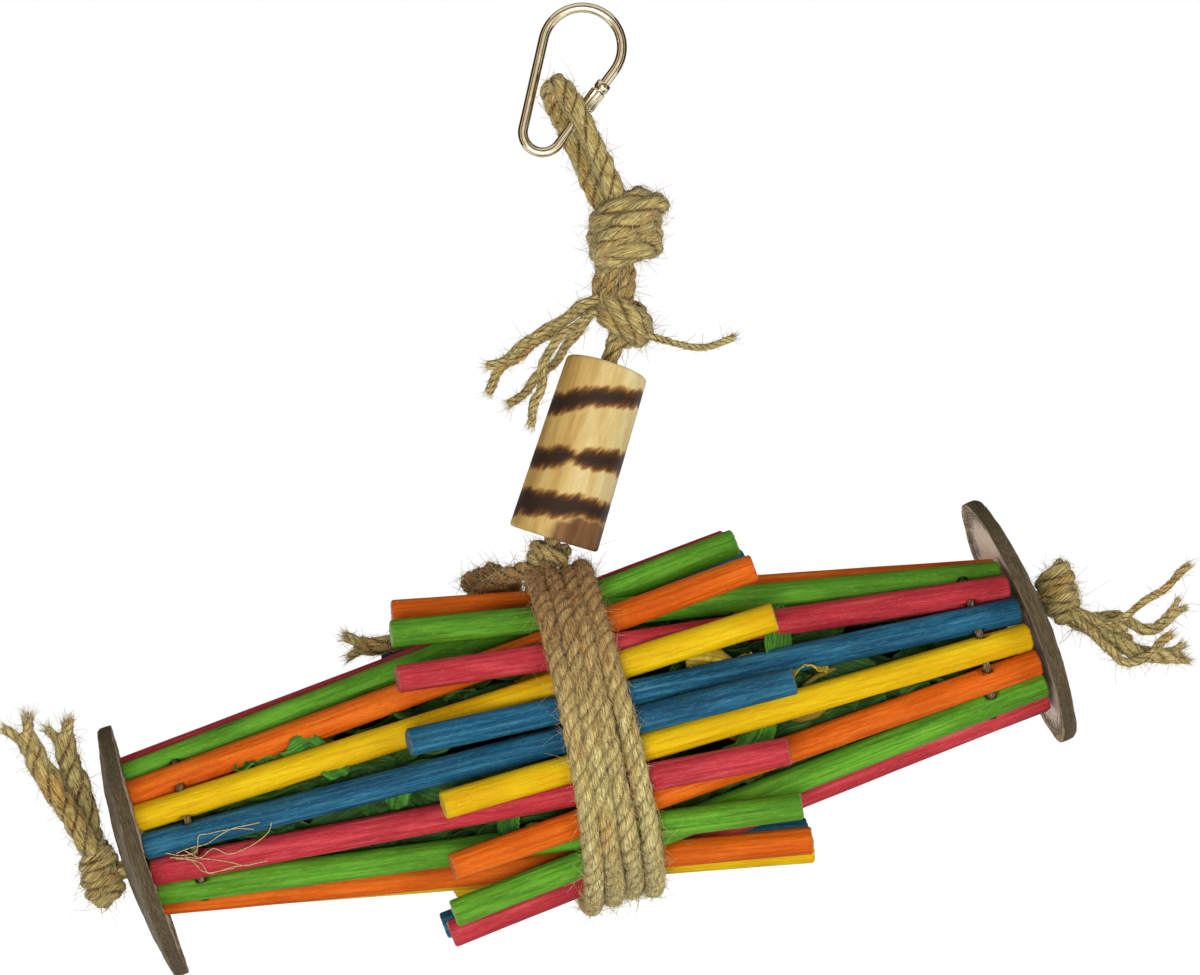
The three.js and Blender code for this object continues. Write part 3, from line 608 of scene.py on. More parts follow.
left_knot, right_knot = (tail_knot_centre(disc) for disc in DISCS.values())
wrap_radius = WRAP_CORD_DIAMETER / 2
wrap_reach = WRAP_TURNS / 2 * (WRAP_CORD_DIAMETER + WRAP_TURN_GAP)
wrap_knot_station = WRAP_STATION - wrap_reach - wrap_radius + WRAP_KNOT_TUCK - WRAP_KNOT_LENGTH / 2
wrap_knot_radius = dowel_top(WRAP_STATION - wrap_knot_station) + CLEARANCE + WRAP_KNOT_WIDTH / 2
wrap_knot = around_barrel(wrap_knot_station, wrap_knot_radius, WRAP_KNOT_BEARING)

for index, route in enumerate(TASSEL_ROUTES):
    free_cord(
        f"tassel_strand_{index + 1}", route, TASSEL_DIAMETER, "hanger_low", 20 + index, wave=1.0,
    )
free_cord("stray_strand", STRAY_ROUTE, STRAY_DIAMETER, "hanger_low", 30)
for index, route in enumerate(LEFT_TAIL_ROUTES):
    path = to_world(left_knot + np.array(route))
    name = f"left_tail_{index + 1}"
    free_cord(name, path, LEFT_TAIL_DIAMETER, "barrel", 40 + index, wave=0.4, opening=7, swell=1.3)
for index, (diameter, route) in enumerate(RIGHT_TAILS):
    path = to_world(right_knot + np.array(route))
    opening = 5 if diameter > 2 else 0
    free_cord(f"right_tail_{index + 1}", path, diameter, "barrel", 50 + index, wave=0.6, opening=opening)
free_cord("right_tail_loop", RIGHT_LOOP_ROUTE, RIGHT_LOOP_DIAMETER, "barrel", 56, wave=0.4)
path = to_world(wrap_knot + np.array(WRAP_TAIL_ROUTE))
free_cord("wrap_tail", path, WRAP_TAIL_DIAMETER, "barrel", 60, wave=0.4, opening=7)

# Winding round the barrel
DRESSED_PITCH = 5.3
DRESSED_CORD = 5.5
DRESSED_STATION = WRAP_STATION - 2.6
WRAP_SPREAD = 0.17
WRAP_WANDER = 0.75
TURN_POINTS = 120
# Heights in the barrel's frame where the winding's painted shade starts and where it is full
PAINTED_SHADE_FROM = -8
PAINTED_SHADE_FULL = 44


def winding_painted_shade(points):
    """Painted shade on the winding's rope: brown at the barrel's top and pale at its front and below."""
    height = to_barrel(points)[:, 2]
    return np.clip((height - PAINTED_SHADE_FROM) / (PAINTED_SHADE_FULL - PAINTED_SHADE_FROM), 0, 1)


wrap_rng = np.random.default_rng(69)
wrap_share = np.linspace(0, WRAP_TURNS, 1 + TURN_POINTS * WRAP_TURNS)
wrap_angles = WRAP_START + TURN * wrap_share
wrap_pitches = DRESSED_PITCH * (1 - WRAP_SPREAD * np.sin(wrap_angles))
wrap_stations = DRESSED_STATION + wrap_pitches * (wrap_share - WRAP_TURNS / 2)
wrap_stations = wrap_stations + ripple(wrap_share, wrap_rng, (0.83, 0.37, 1.31), WRAP_WANDER)
wrap_radii = dowel_top(np.abs(wrap_stations - WRAP_STATION) + wrap_radius) + CLEARANCE + wrap_radius
wrap_line = to_world(around_barrel(wrap_stations, wrap_radii, wrap_angles))
rope(
    "wrap_cord_rope", [wrap_line], DRESSED_CORD, "barrel", ["wrap_cord"], 70,
    fuzzy=False, material=PALE_JUTE, brown=winding_painted_shade,
)

# Knots: rope wound on itself, each turn slanting across the front
KNOT_POINTS = 80
KNOT_NARROWING = 0.3
KNOT_UNEVEN = 0.09
KNOT_WANDER = 0.35
KNOT_SLOPE = 0.8
TUCKED_POINTS = 4


def knot_line(centre, knot, seed, axis=(0, 0, 1)):
    """Turns of rope round an axis, wider in the middle, that rise to the right by a slant in degrees."""
    rng = np.random.default_rng(seed)
    share = np.linspace(0, 1, 1 + int(KNOT_POINTS * knot.turns))
    slant = math.radians(knot.slant)
    axis = unit(axis)
    side, front = square_to(axis)
    leaning = math.cos(slant) * side + math.sin(slant) * axis
    half = (knot.width - knot.rope) / 2
    turns = share * knot.turns
    reach = half * (1 - KNOT_NARROWING * (2 * share - 1) ** 4)
    reach = reach * (1 + ripple(turns, rng, (0.71, 1.27), KNOT_UNEVEN))
    reach[:TUCKED_POINTS] *= 0.5
    angle = -math.copysign(TURN, slant) * turns
    rise = (knot.height - knot.rope) / 2 - KNOT_SLOPE * half * math.sin(abs(slant))
    level = rise * (1 - 2 * share) + ripple(turns, rng, (0.53, 0.91), KNOT_WANDER)
    return np.asarray(centre) + reach[:, None] * turned(angle, leaning, front) + level[:, None] * axis


Knot = namedtuple("Knot", "width height rope turns slant")
# Outer width and height of each knot, its rope's diameter, its turns and their slant in degrees
UPPER_KNOT = Knot(23, 27, 7, 3.7, 24)
LOWER_KNOT = Knot(17.6, 17.6, 6, 3.3, -27)
TAIL_KNOT = Knot(12.5, 20, 5.4, 3.4, 18)
WRAP_KNOT = Knot(15, 19, 5.8, 3.2, 24)
UPPER_KNOT_CENTRE = np.array([12, 0, -61.6])
# Two strands that cross the upper knot's foot and front
UPPER_KNOT_STRANDS = [
    [(7, -4, -70), (9, -7.4, -69.4), (13, -8.8, -68), (17.4, -6.6, -66.6),
     (19.4, 0, -66), (15, 5, -66), (11, 3, -65)],
    [(6, -3, -68), (6.4, -7.4, -66), (9.4, -9.6, -63), (13.6, -10, -59.4),
     (18, -8, -56), (21.2, -3, -54.6), (19, 3, -54)],
]
LOWER_KNOT_CORE = np.array([(0, 0, 8), (0, 0, 2), (0, 0, -3), (-1, 0, -8)])
TAIL_KNOT_CORE = np.array([(0, 0, 7), (0, 0, 0), (0, 0, -7)])
# The knots' solids: half the upper knot's height and half the lower knot's, with the neck between
UPPER_KNOT_HALF = 13
LOWER_KNOT_HALF = 8.5
NECK_LENGTH = 3.6
lower_knot_centre = UPPER_KNOT_CENTRE + (-0.5, 0, -UPPER_KNOT_HALF - NECK_LENGTH - LOWER_KNOT_HALF)
upper_lines = [knot_line(UPPER_KNOT_CENTRE, UPPER_KNOT, 5)] + [smooth(route) for route in UPPER_KNOT_STRANDS]
rope("upper_knot_rope", upper_lines, UPPER_KNOT.rope, "hanger_top", ["upper_knot"], 80)
lower_turns = knot_line(lower_knot_centre + (0.6, 0, 0), LOWER_KNOT, 6)
lower_lines = [lower_turns, smooth(lower_knot_centre + LOWER_KNOT_CORE)]
rope("lower_knot_rope", lower_lines, LOWER_KNOT.rope, "hanger_low", ["lower_knot"], 81)
for name, centre, seed in (("tail_knot_left", left_knot, 82), ("tail_knot_right", right_knot, 83)):
    lines = [to_world(knot_line(centre, TAIL_KNOT, seed)), to_world(centre + TAIL_KNOT_CORE)]
    rope(f"{name}_rope", lines, TAIL_KNOT.rope, "barrel", [name], seed)
# Strands that leave the right knot together, before its tails part
BUNDLE_DIAMETER = 3.2
BUNDLE_ROUTES = [
    [(0, -1.6, -4), (6, -2.4, -8), (12, -2.4, -12), (17, -2.2, -14)],
    [(0, 1.8, -4.4), (6, 2.2, -9.6), (12, 2, -14), (18, 1.4, -18)],
    [(0, -1, -6), (7, -1.2, -11.4), (13, -1.6, -16.6), (19, -1.8, -21)],
]
bundle = [smooth(to_world(right_knot + np.array(route))) for route in BUNDLE_ROUTES]
rope("right_tail_bundle", bundle, BUNDLE_DIAMETER, "barrel", (), 85)
# The winding's knot, whose rope comes over the winding's top: station, distance from the axis and angle
WRAP_TIE = [
    (-22, 47, 2.0), (-16, 48.5, 1.86), (-10, 49, 1.72), (-5, 49.4, 1.62), (-1, 48.6, 1.56), (2, 46.4, 1.54),
]
WRAP_KNOT_OUT = 2.6
wrap_knot_middle = wrap_knot + around_barrel(WRAP_KNOT_OUT, WRAP_KNOT_OUT, WRAP_KNOT_BEARING)
wrap_turns = knot_line(wrap_knot_middle, WRAP_KNOT, 84, axis=(1, 0, 0.2))
wrap_lines = [to_world(wrap_turns), to_world(smooth(around_barrel(*np.array(WRAP_TIE).T)))]
# The knot's rope has the winding's painted shade
rope("wrap_knot_rope", wrap_lines, WRAP_CORD_DIAMETER, "barrel", ["wrap_knot"], 84, brown=winding_painted_shade)

# Loop through the link
LOOP_DIAMETER = 6.1
LOOP_ROUTE = [
    (8.6, 2.6, -59), (6.4, 2.9, -55.5), (3.6, 3.1, -50.4), (0.6, 3.9, -43.6), (-2.4, 4.4, -37.4),
    (-5.1, 4.5, -31.6), (-7.7, 3.9, -26.4), (-8.6, 2, -22.6), (-7.2, -0.5, -20.6),
    (-4.7, -3.4, -22.4), (-1.9, -4.5, -27.2), (0.8, -4.5, -32.4), (3.6, -4, -38.3),
    (6.7, -3.4, -45.2), (9.4, -3.1, -51.4), (11, -3, -56), (12.4, -2.6, -60), (12, -1, -68),
]
rope("hanger_loop_rope", [smooth(LOOP_ROUTE)], LOOP_DIAMETER, "hanger_top", ["hanger_loop"], 90)

# Neck: loose strands from one knot to the next
NECK_STRAND = 3.5
# Share of painted shade on the neck's strands, which lie between the knots
NECK_PAINTED_SHADE = 0.4
NECK_CENTRE = UPPER_KNOT_CENTRE + (-1.6, 0, -UPPER_KNOT_HALF)
NECK_OFFSETS = [
    (-5.4, -0.6), (-4, -3), (-1.6, -4), (1.2, -3.4), (3, -1.4), (2.4, 2), (-0.6, 3.4), (-3.8, 2.4), (-0.8, 0),
]
# Each strand's points: share of its offset, share of its bow, shift to the side and height
NECK_SHAPE = [(0.7, 0, 0, 5), (1, 0, 0, 0.5), (1, 1, 0, -2.4), (1, 0, -0.4, -5.2), (0.7, 0, -0.6, -9)]


def neck_strand(across, deep, bow):
    route = [(across * wide + bow * bowed + shift, deep * wide, up) for wide, bowed, shift, up in NECK_SHAPE]
    return smooth(NECK_CENTRE + np.array(route))


# Painted shade, the same all along the neck
def neck_painted_shade(points):
    return np.full(len(points), NECK_PAINTED_SHADE)


def twist_with_neck(piece):
    """Bakes a piece's place into its mesh."""
    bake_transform(piece)


neck_strands = [
    neck_strand(across, deep, 0.8 if index % 2 else -0.6) for index, (across, deep) in enumerate(NECK_OFFSETS)
]
neck = rope(
    "neck_strands", neck_strands, NECK_STRAND, "hanger_low", seed=91, fuzzy=False, ride=False,
    brown=neck_painted_shade,
)
twist_with_neck(neck)
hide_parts("neck_cord")

# Block: a tapered log with a bore, leaning with its cord
BLOCK_LENGTH = 52.5
BLOCK_TOP_DIAMETER = 23.5
BLOCK_BOTTOM_DIAMETER = 26
BLOCK_BORE_DIAMETER = 7
BLOCK_EDGE = 0.9
BLOCK_SIDES = 144
BLOCK_RINGS = 106
BORE_FLARE = 0.5
BORE_FLARE_DEPTH = 0.8
# The top is sawn at a slant, lower at the back, which fades out quickly below it
HEAD_CUT = math.tan(math.radians(9))
HEAD_CUT_FADE = 6
BLOCK_GAP = 3.4
BLOCK_SHIFT = -4
block_up = unit(joint("block_spin")["axis"])
block_top = lower_knot_centre + (BLOCK_SHIFT, 0, -LOWER_KNOT_HALF - BLOCK_GAP)
block_bottom = block_top - BLOCK_LENGTH * block_up
# Scorched bands: depth below the top at the middle, how much deeper the left edge is than the right one,
# how much deeper both edges are than the middle, and the widths at the left and right edges
BURN_BANDS = [(10.8, 10, 1.2, 5.6, 3.4), (28.8, 5.8, 0.3, 4.8, 4.8), (42.6, 3.8, 0.6, 7, 3.8)]
BURN_EDGE = 2.6
BURN_GRAIN = 0.12
# Heights and scales of the noise that shifts a band and of the noise that widens it
BURN_DRIFT = [(0.9, 1.4), (0.5, 4)]
BURN_SWELL = [(0.3, 2.3)]
# A notch in the front of one band, with its place and width as shares of the radius
NOTCH_BAND = 1
NOTCH_PLACE = -0.1
NOTCH_WIDTH = 0.16
NOTCH_DEPTH = 0.6
STAIN_HEIGHT = 10
STAIN_MIDDLE = 9
STAIN_ROUND = 0.05
STAIN_LEFT = 3
STAIN_FADE = 2.6
STAIN_RAGGED = 1.6
STAIN_GRAIN = 0.3
# Width over which the block goes from golden to pale: partly the wood's tone, partly painted light from the
# right
PALE_AND_LIT_SPAN = 18
# Log: how uneven its side is, and the noise's scale round it and along it
LOG_UNEVEN = 0.012
LOG_ROUND = 1.3
LOG_ALONG = 0.03
# Licks of flame at the bands' edges: scale along three axes and the lean of the first and last
LICK_SCALE = (0.66, 0.6, 0.17)
LICK_LEAN = (0.55, 0.3)


def block_profile():
    """Radius and height of each ring, from the bore's foot round to its head."""
    bore = BLOCK_BORE_DIAMETER / 2
    foot = BLOCK_BOTTOM_DIAMETER / 2
    head = BLOCK_TOP_DIAMETER / 2
    lip = bore + BORE_FLARE
    rings = [(bore, BORE_FLARE_DEPTH), (lip, 0), ((bore + foot) / 2, 0)]
    for turn in np.radians([-90, -60, -30, 0]):
        rings.append((foot - BLOCK_EDGE + BLOCK_EDGE * math.cos(turn), BLOCK_EDGE * (1 + math.sin(turn))))
    for height in np.linspace(BLOCK_EDGE, BLOCK_LENGTH - BLOCK_EDGE, BLOCK_RINGS + 2)[1:-1]:
        rings.append((foot + (head - foot) * height / BLOCK_LENGTH, height))
    for turn in np.radians([0, 30, 60, 90]):
        rings.append((
            head - BLOCK_EDGE + BLOCK_EDGE * math.cos(turn),
            BLOCK_LENGTH - BLOCK_EDGE * (1 - math.sin(turn)),
        ))
    rings += [((bore + head) / 2, BLOCK_LENGTH), (lip, BLOCK_LENGTH), (bore, BLOCK_LENGTH - BORE_FLARE_DEPTH)]
    return np.array(rings)


def clamped(value):
    return min(max(value, 0), 1)


def layered_noise(place, layers):
    """The sum of layers of noise at a place, each with its height and scale."""
    return sum(height * noise.noise(place * scale) for height, scale in layers)


def burn_mark(height, across, deep):
    """How scorched a point of the block's side is, from 0 to 1."""
    share = across / (BLOCK_BOTTOM_DIAMETER / 2)
    mark = 0.0
    for band, (depth, fall, arch, left, right) in enumerate(BURN_BANDS):
        place = Vector((across * BURN_GRAIN, deep * BURN_GRAIN, depth))
        wide = (left + (right - left) * (share + 1) / 2) / 2 * (1 + layered_noise(place, BURN_SWELL))
        if band == NOTCH_BAND and deep < 0:
            wide *= 1 - NOTCH_DEPTH * math.exp(-(((share - NOTCH_PLACE) / NOTCH_WIDTH) ** 2))
        drift = layered_noise(place, BURN_DRIFT)
        middle = BLOCK_LENGTH - depth + fall / 2 * share - arch * share**2 + drift
        mark = max(mark, (wide - abs(height - middle)) / (2 * BURN_EDGE) + 0.5)
    return clamped(mark)


def stain_mark(height, across):
    """The brown corner at the block's foot, from 0 to 1."""
    ragged = STAIN_RAGGED * noise.noise(Vector((across * STAIN_GRAIN, height * STAIN_GRAIN, 0)))
    reach = STAIN_HEIGHT - height - STAIN_ROUND * (across - STAIN_MIDDLE) ** 2 + ragged
    return clamped(reach / STAIN_FADE) * clamped((across + STAIN_LEFT + ragged) / STAIN_LEFT)


def add_block(material):
    profile = block_profile()
    side = unit(np.array([1, 0, 0]) - block_up * block_up[0])
    front = np.cross(block_up, side)
    rows = []
    for radius, height in profile:
        for turn in circle(BLOCK_SIDES):
            across, deep = math.cos(turn), math.sin(turn)
            place = Vector((across * LOG_ROUND, deep * LOG_ROUND, height * LOG_ALONG))
            uneven = LOG_UNEVEN * noise.noise(place) if radius > BLOCK_BORE_DIAMETER / 2 else 0
            reach = radius * (1 + uneven)
            x, y = reach * across, reach * deep
            drop = HEAD_CUT * (BLOCK_TOP_DIAMETER / 2 + y) * (height / BLOCK_LENGTH) ** HEAD_CUT_FADE
            point = block_bottom + x * side + y * front + (height - drop) * block_up
            slanted = (x - LICK_LEAN[0] * height, y, height + LICK_LEAN[1] * x)
            stroke = [scale * value for scale, value in zip(LICK_SCALE, slanted)]
            pale = clamped(0.5 + x / PALE_AND_LIT_SPAN)
            rows.append((point, (x, y, height), stroke, burn_mark(height, x, y), stain_mark(height, x), pale))
    points, *values = zip(*rows)
    values = dict(zip(("grain", "stroke", "burn", "stain", "pale"), values))
    block = add_mesh("wood_block_log", points, closed_faces(len(profile), BLOCK_SIDES), material, **values)
    dress(block, "block", "pine", "wood_block")


def pine_finish():
    """Pale wood with faint growth lines, golden at the left and paler at the right, partly its own tone and
    partly painted light from the right, and scorched bands whose brown edges run out in licks.
    """
    f = finish("pine", Specular_IOR_Level=0.08)
    lines = f.noise((0.3, 0.3, 0.045), 1.0, 4)
    fine = f.noise((2.4, 2.4, 0.12))
    lick = f.noise(EVEN_GRAIN, 1.0, 4, 0.58, "stroke")
    golden = f.ramp(lines, (0.3, (180, 134, 66)), (0.5, (204, 166, 92)), (0.7, (216, 186, 116)))
    light = f.ramp(lines, (0.3, (206, 176, 110)), (0.5, (220, 200, 140)), (0.7, (230, 216, 166)))
    # Golden left and pale right: partly wood tone, partly painted light from the right
    wood = f.mix(f.value("pale"), golden, light)
    wood = f.tint(wood, fine, 0.54, 0.75, 0.16, (178, 136, 74))
    wood = f.tint(wood, lick, 0.56, 0.72, 0.22, (176, 134, 72))
    stain = f.math("MULTIPLY", f.value("stain"), 0.92)
    wood = f.mix(stain, wood, f.ramp(lines, (0.35, (92, 54, 34)), (0.65, (128, 82, 48))))
    burn = f.value("burn")
    ragged = f.math("MULTIPLY", f.math("SUBTRACT", lick, 0.5), 3.6)
    near = f.math("MULTIPLY", burn, f.math("SUBTRACT", 1.0, burn))
    mark = f.math("MULTIPLY_ADD", ragged, near, burn, clamp=True)
    charred = (0.56, (86, 58, 36)), (0.8, (56, 41, 32))
    scorch = f.ramp(mark, (0.2, (196, 156, 92)), (0.4, (144, 100, 54)), *charred)
    colour = f.mix(f.step(mark, 0.16, 0.4), wood, scorch)
    height = f.math("MULTIPLY_ADD", mark, -0.35, fine)
    rough = f.math("MULTIPLY_ADD", fine, 0.3, 0.45)
    return f.set(Base_Color=colour, Normal=f.bump(height, 0.25, 0.4), Roughness=rough)


add_block(pine_finish())

# Core cord: from the lower knot through the block, tied into the winding
CORE_DIAMETER = 5
core_route = [
    lower_knot_centre + (-1.5, 0, -3),
    lower_knot_centre + (-2.6, 0, -7.5),
    block_top + 1.0 * block_up,
    block_top - 0.5 * BLOCK_LENGTH * block_up,
    block_bottom,
    block_bottom - 3.6 * block_up,
    block_bottom - 8.6 * block_up + (-1.2, 0, 0),
]


def bend_to_barrel(piece):
    """Bakes a piece's place into its mesh."""
    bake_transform(piece)


core_line = smooth(core_route)
core = rope("core_cord_rope", [core_line], CORE_DIAMETER, "hanger_low", seed=92, fuzzy=False, ride=False)
bend_to_barrel(core)
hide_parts("core_cord")

# Hitch of the winding's rope round the core cord, just below the block
HITCH_ROPE = 3.8
HITCH_DROP = 2.1
HITCH_PITCH = 2.9
HITCH_TURNS = 1.7
HITCH_SQUEEZE = 0.2
hitch_turns = np.linspace(0, HITCH_TURNS, 120)
hitch_reach = (CORE_DIAMETER + HITCH_ROPE) / 2 - HITCH_SQUEEZE
hitch_out = hitch_reach * turned(TURN * hitch_turns, *square_to(block_up))
hitch_line = block_bottom - (HITCH_DROP + HITCH_PITCH * hitch_turns)[:, None] * block_up + hitch_out
hitch = rope("wrap_hitch_rope", [hitch_line], HITCH_ROPE, "hanger_low", seed=95, fuzzy=False, ride=False)
bend_to_barrel(hitch)

# Cords that string the dowels and the axle cord
RING_CORD_DIAMETER = 2.2
AXLE_DIAMETER = 5.4
for node in ("ring_cord_left", "ring_cord_right"):
    ring = to_barrel(node_points(node))
    radius = np.hypot(ring[:, 1], ring[:, 2]).mean()
    line = to_world(around_barrel(ring[:, 0].mean(), radius, np.linspace(0, TURN, 181) + math.pi))
    rope(f"{node}_rope", [line], RING_CORD_DIAMETER, "barrel", [node], 93, fuzzy=False, material=STRING)
axle_ends = to_world([left_knot, right_knot])
rope("axle_cord_rope", [axle_ends], AXLE_DIAMETER, "barrel", ["axle_cord"], 94, fuzzy=False)

# Dowels
LEFT_DYES = ["blue", "yellow", "orange", "green", "red"]
RIGHT_DYES = ["blue", "red", "green", "orange", "yellow"]
DYES = {
    "blue": ((14, 54, 78), (26, 92, 124), (78, 142, 160)),
    "yellow": ((204, 150, 0), (228, 186, 4), (242, 210, 34)),
    "orange": ((184, 72, 2), (220, 98, 8), (236, 134, 44)),
    "green": ((62, 108, 22), (94, 162, 38), (136, 190, 66)),
    "red": ((152, 32, 42), (194, 54, 62), (216, 98, 98)),
}
DOWEL_SIDES = 32
DOWEL_BEVEL = 0.45
DOWEL_STEP = 2.5
DOWEL_PROUD = 0.1
# Waves round a dowel's section with their heights, lumps along it, and flats on its sides
DOWEL_WAVES = [(2, 0.014), (5, 0.008)]
DOWEL_LUMPS = 0.012
DOWEL_FLATS = 0.004
CHIP_DEPTH = 0.16
END_DEPTH = 1.2
HOLE_DIAMETER = 3.8
HOLE_SIDES = 24


def dye_finish(name, dark, middle, light):
    """Soft wood stained with dye: streaks and pores along the grain, paler cut ends."""
    f = finish(f"dye_{name}", Specular_IOR_Level=0.14)
    streak = f.noise((0.045, 1, 1), 0.9, 4, 0.62)
    fine = f.noise((0.07, 1, 1), 3.2)
    pores = f.noise((0.22, 2.2, 2.2), 1.9, 3, 0.7)
    patch = f.noise((0.03, 0.12, 0.12), 1.0, 2)
    rings = f.noise((0, 1, 1), 1.7, 4)
    colour = f.ramp(streak, (0.3, dark), (0.5, middle), (0.78, light))
    colour = f.tint(colour, patch, 0.42, 0.68, 0.6, dark)
    colour = f.tint(colour, fine, 0.58, 0.74, 0.5, light)
    colour = f.tint(colour, pores, 0.53, 0.68, 0.6, dark)
    colour = f.tint(colour, pores, 0.44, 0.32, 0.5, light)
    cut = f.mix(f.step(rings, 0.35, 0.7), middle, f.mix(0.45, light, (240, 224, 180)))
    colour = f.mix(f.math("MULTIPLY", f.value("end"), 0.45), colour, cut)
    height = f.math("MULTIPLY_ADD", pores, -0.7, f.math("MULTIPLY_ADD", fine, 0.6, streak))
    rough = f.math("MULTIPLY_ADD", streak, 0.3, 0.5)
    return f.set(Base_Color=colour, Normal=f.bump(height, 0.22, 0.7), Roughness=rough)


dye_materials = {name: dye_finish(name, *colours) for name, colours in DYES.items()}


def dowel_places(node):
    """Both end centres of a dowel's solid, the middle of its hole and the way it is drilled."""
    points = node_points(node)
    centred = points - points.mean(axis=0)
    along = centred @ np.linalg.svd(centred)[2][0]
    low, high = along < along.min() + END_DEPTH, along > along.max() - END_DEPTH
    start, end = points[low].mean(axis=0), points[high].mean(axis=0)
    mouth = points[~low & ~high]
    hole = mouth.mean(axis=0)
    drill = np.linalg.svd(mouth - hole)[2][0]
    if np.linalg.norm(end - hole) < np.linalg.norm(start - hole):
        start, end = end, start
    return start, end, hole, drill


def drill_hole(piece, hole, drill):
    """Cuts the ring cord's hole through a dowel and keeps the result as its mesh."""
    reach = DOWEL_DIAMETER * drill
    ring = hole + HOLE_DIAMETER / 2 * turned(circle(HOLE_SIDES), *square_to(unit(drill)))
    cutter = add_mesh("cutter", [ring - reach, ring + reach], tube_faces(2, HOLE_SIDES), None)
    cut = piece.modifiers.new("hole", "BOOLEAN")
    cut.operation = "DIFFERENCE"
    cut.solver = "EXACT"
    cut.object = cutter
    graph = bpy.context.evaluated_depsgraph_get()
    mesh = bpy.data.meshes.new_from_object(piece.evaluated_get(graph))
    piece.modifiers.clear()
    piece.data = mesh
    bpy.data.objects.remove(cutter)


def add_dowel(node, dye, seed):
    rng = np.random.default_rng(seed)
    start, end, hole, drill = dowel_places(node)
    length = np.linalg.norm(end - start)
    axis = (end - start) / length
    side, up = square_to(axis)
    # Each ring: its place along the dowel, its share of the radius, and 1 on the cut faces
    rings = [(0, 0.04, 1), (0, 0.55, 1), (0, 1 - DOWEL_BEVEL / dowel_radius, 1), (DOWEL_BEVEL, 1, 0)]
    rings += [(place, 1, 0) for place in np.arange(2 * DOWEL_BEVEL, length - 2 * DOWEL_BEVEL, DOWEL_STEP)]
    rings += [(length - place, share, face) for place, share, face in rings[3::-1]]
    along, share, faces = np.array(rings).T
    angle = circle(DOWEL_SIDES)
    oval = 1
    for waves, size in DOWEL_WAVES:
        oval = oval + size * np.cos(waves * angle + rng.uniform(0, TURN))
    lump = 1 + ripple(along, rng, (23, 41, 97), DOWEL_LUMPS)
    flat = 1 + rng.normal(0, DOWEL_FLATS, DOWEL_SIDES)
    radius = (dowel_radius + DOWEL_PROUD) * share[:, None] * lump[:, None] * (oval * flat)
    chip = np.abs(rng.normal(0, CHIP_DEPTH, (2, DOWEL_SIDES)))
    axial = np.repeat(along[:, None], DOWEL_SIDES, axis=1)
    axial[1:4] += chip[0] * share[1:4, None]
    axial[-4:-1] -= chip[1] * share[-4:-1, None]
    across, deep = radius * np.cos(angle), radius * np.sin(angle)
    points = start + axial[..., None] * axis + across[..., None] * side + deep[..., None] * up
    piece = add_mesh(
        f"{node}_stick", points, tube_faces(len(rings), DOWEL_SIDES), dye_materials[dye],
        grain=stacked(axial, across, deep) + rng.uniform(0, 300, 3), end=np.repeat(faces, DOWEL_SIDES),
    )
    drill_hole(piece, hole, drill)
    dress(piece, "barrel", f"dye_{dye}", node)


for side_name, dyes, first_seed in (("left", LEFT_DYES, 200), ("right", RIGHT_DYES, 300)):
    for index in range(DOWELS_PER_SET):
        add_dowel(f"dowel_{side_name}_{index + 1:02d}", dyes[index % len(dyes)], first_seed + index)

# Discs cut from coconut shell
DISC_SIDES = 180
DISC_RINGS = 22
DISC_SINK = 0.25
DISC_THINNING = 0.2
# Waves round a disc's rim, each with its start and height, and the rim's small nicks
RIM_WAVES = [(2, 1, 0.006), (5, 0, 0.004)]
RIM_NICKS = 0.0022
# Lumps of a disc's faces: heights and scales of noise, their share on the hollow face,
# and how far apart in the noise the two faces are
DISC_LUMPS = [(0.35, 0.12), (0.16, 0.5)]
HOLLOW_LUMPS = 0.5
NOISE_APART = 9
FRINGE_START = 0.62


def shell_finish():
    """Grey-brown fibrous outside and rim, and a pale inside with a ragged dark fringe at the rim."""
    f = finish("shell", Roughness=0.8, Specular_IOR_Level=0.25)
    fibre = f.noise((0.12, 1.1, 1.1), 1.3, 5, 0.68)
    strand = f.noise((0.035, 0.8, 0.8))
    patch = f.noise(EVEN_GRAIN, 0.09)
    outside = f.ramp(fibre, (0.3, (54, 44, 30)), (0.5, (108, 94, 68)), (0.68, (172, 158, 126)))
    outside = f.tint(outside, patch, 0.45, 0.7, 0.5, (86, 74, 52))
    outside = f.tint(outside, strand, 0.54, 0.66, 0.55, (162, 146, 112))
    outside = f.tint(outside, strand, 0.44, 0.34, 0.6, (58, 46, 30))
    rim = f.ramp(fibre, (0.3, (52, 42, 28)), (0.7, (102, 86, 58)))
    outside = f.mix(f.math("MULTIPLY", f.value("edge"), 0.7), outside, rim)
    inside = f.ramp(fibre, (0.3, (206, 178, 154)), (0.5, (236, 216, 194)), (0.72, (248, 234, 216)))
    fringe = f.math("MULTIPLY_ADD", f.math("SUBTRACT", fibre, 0.5), 1.8, f.value("rim"))
    inside = f.mix(f.step(fringe, 0.56, 0.72), inside, (84, 66, 44))
    inside = f.mix(f.step(fringe, 0.86, 0.98), inside, (206, 186, 140))
    colour = f.mix(f.value("inner"), outside, inside)
    height = f.math("MULTIPLY_ADD", strand, 1.5, f.math("MULTIPLY_ADD", patch, 0.5, fibre))
    return f.set(Base_Color=colour, Normal=f.bump(height, 0.6, 0.8))


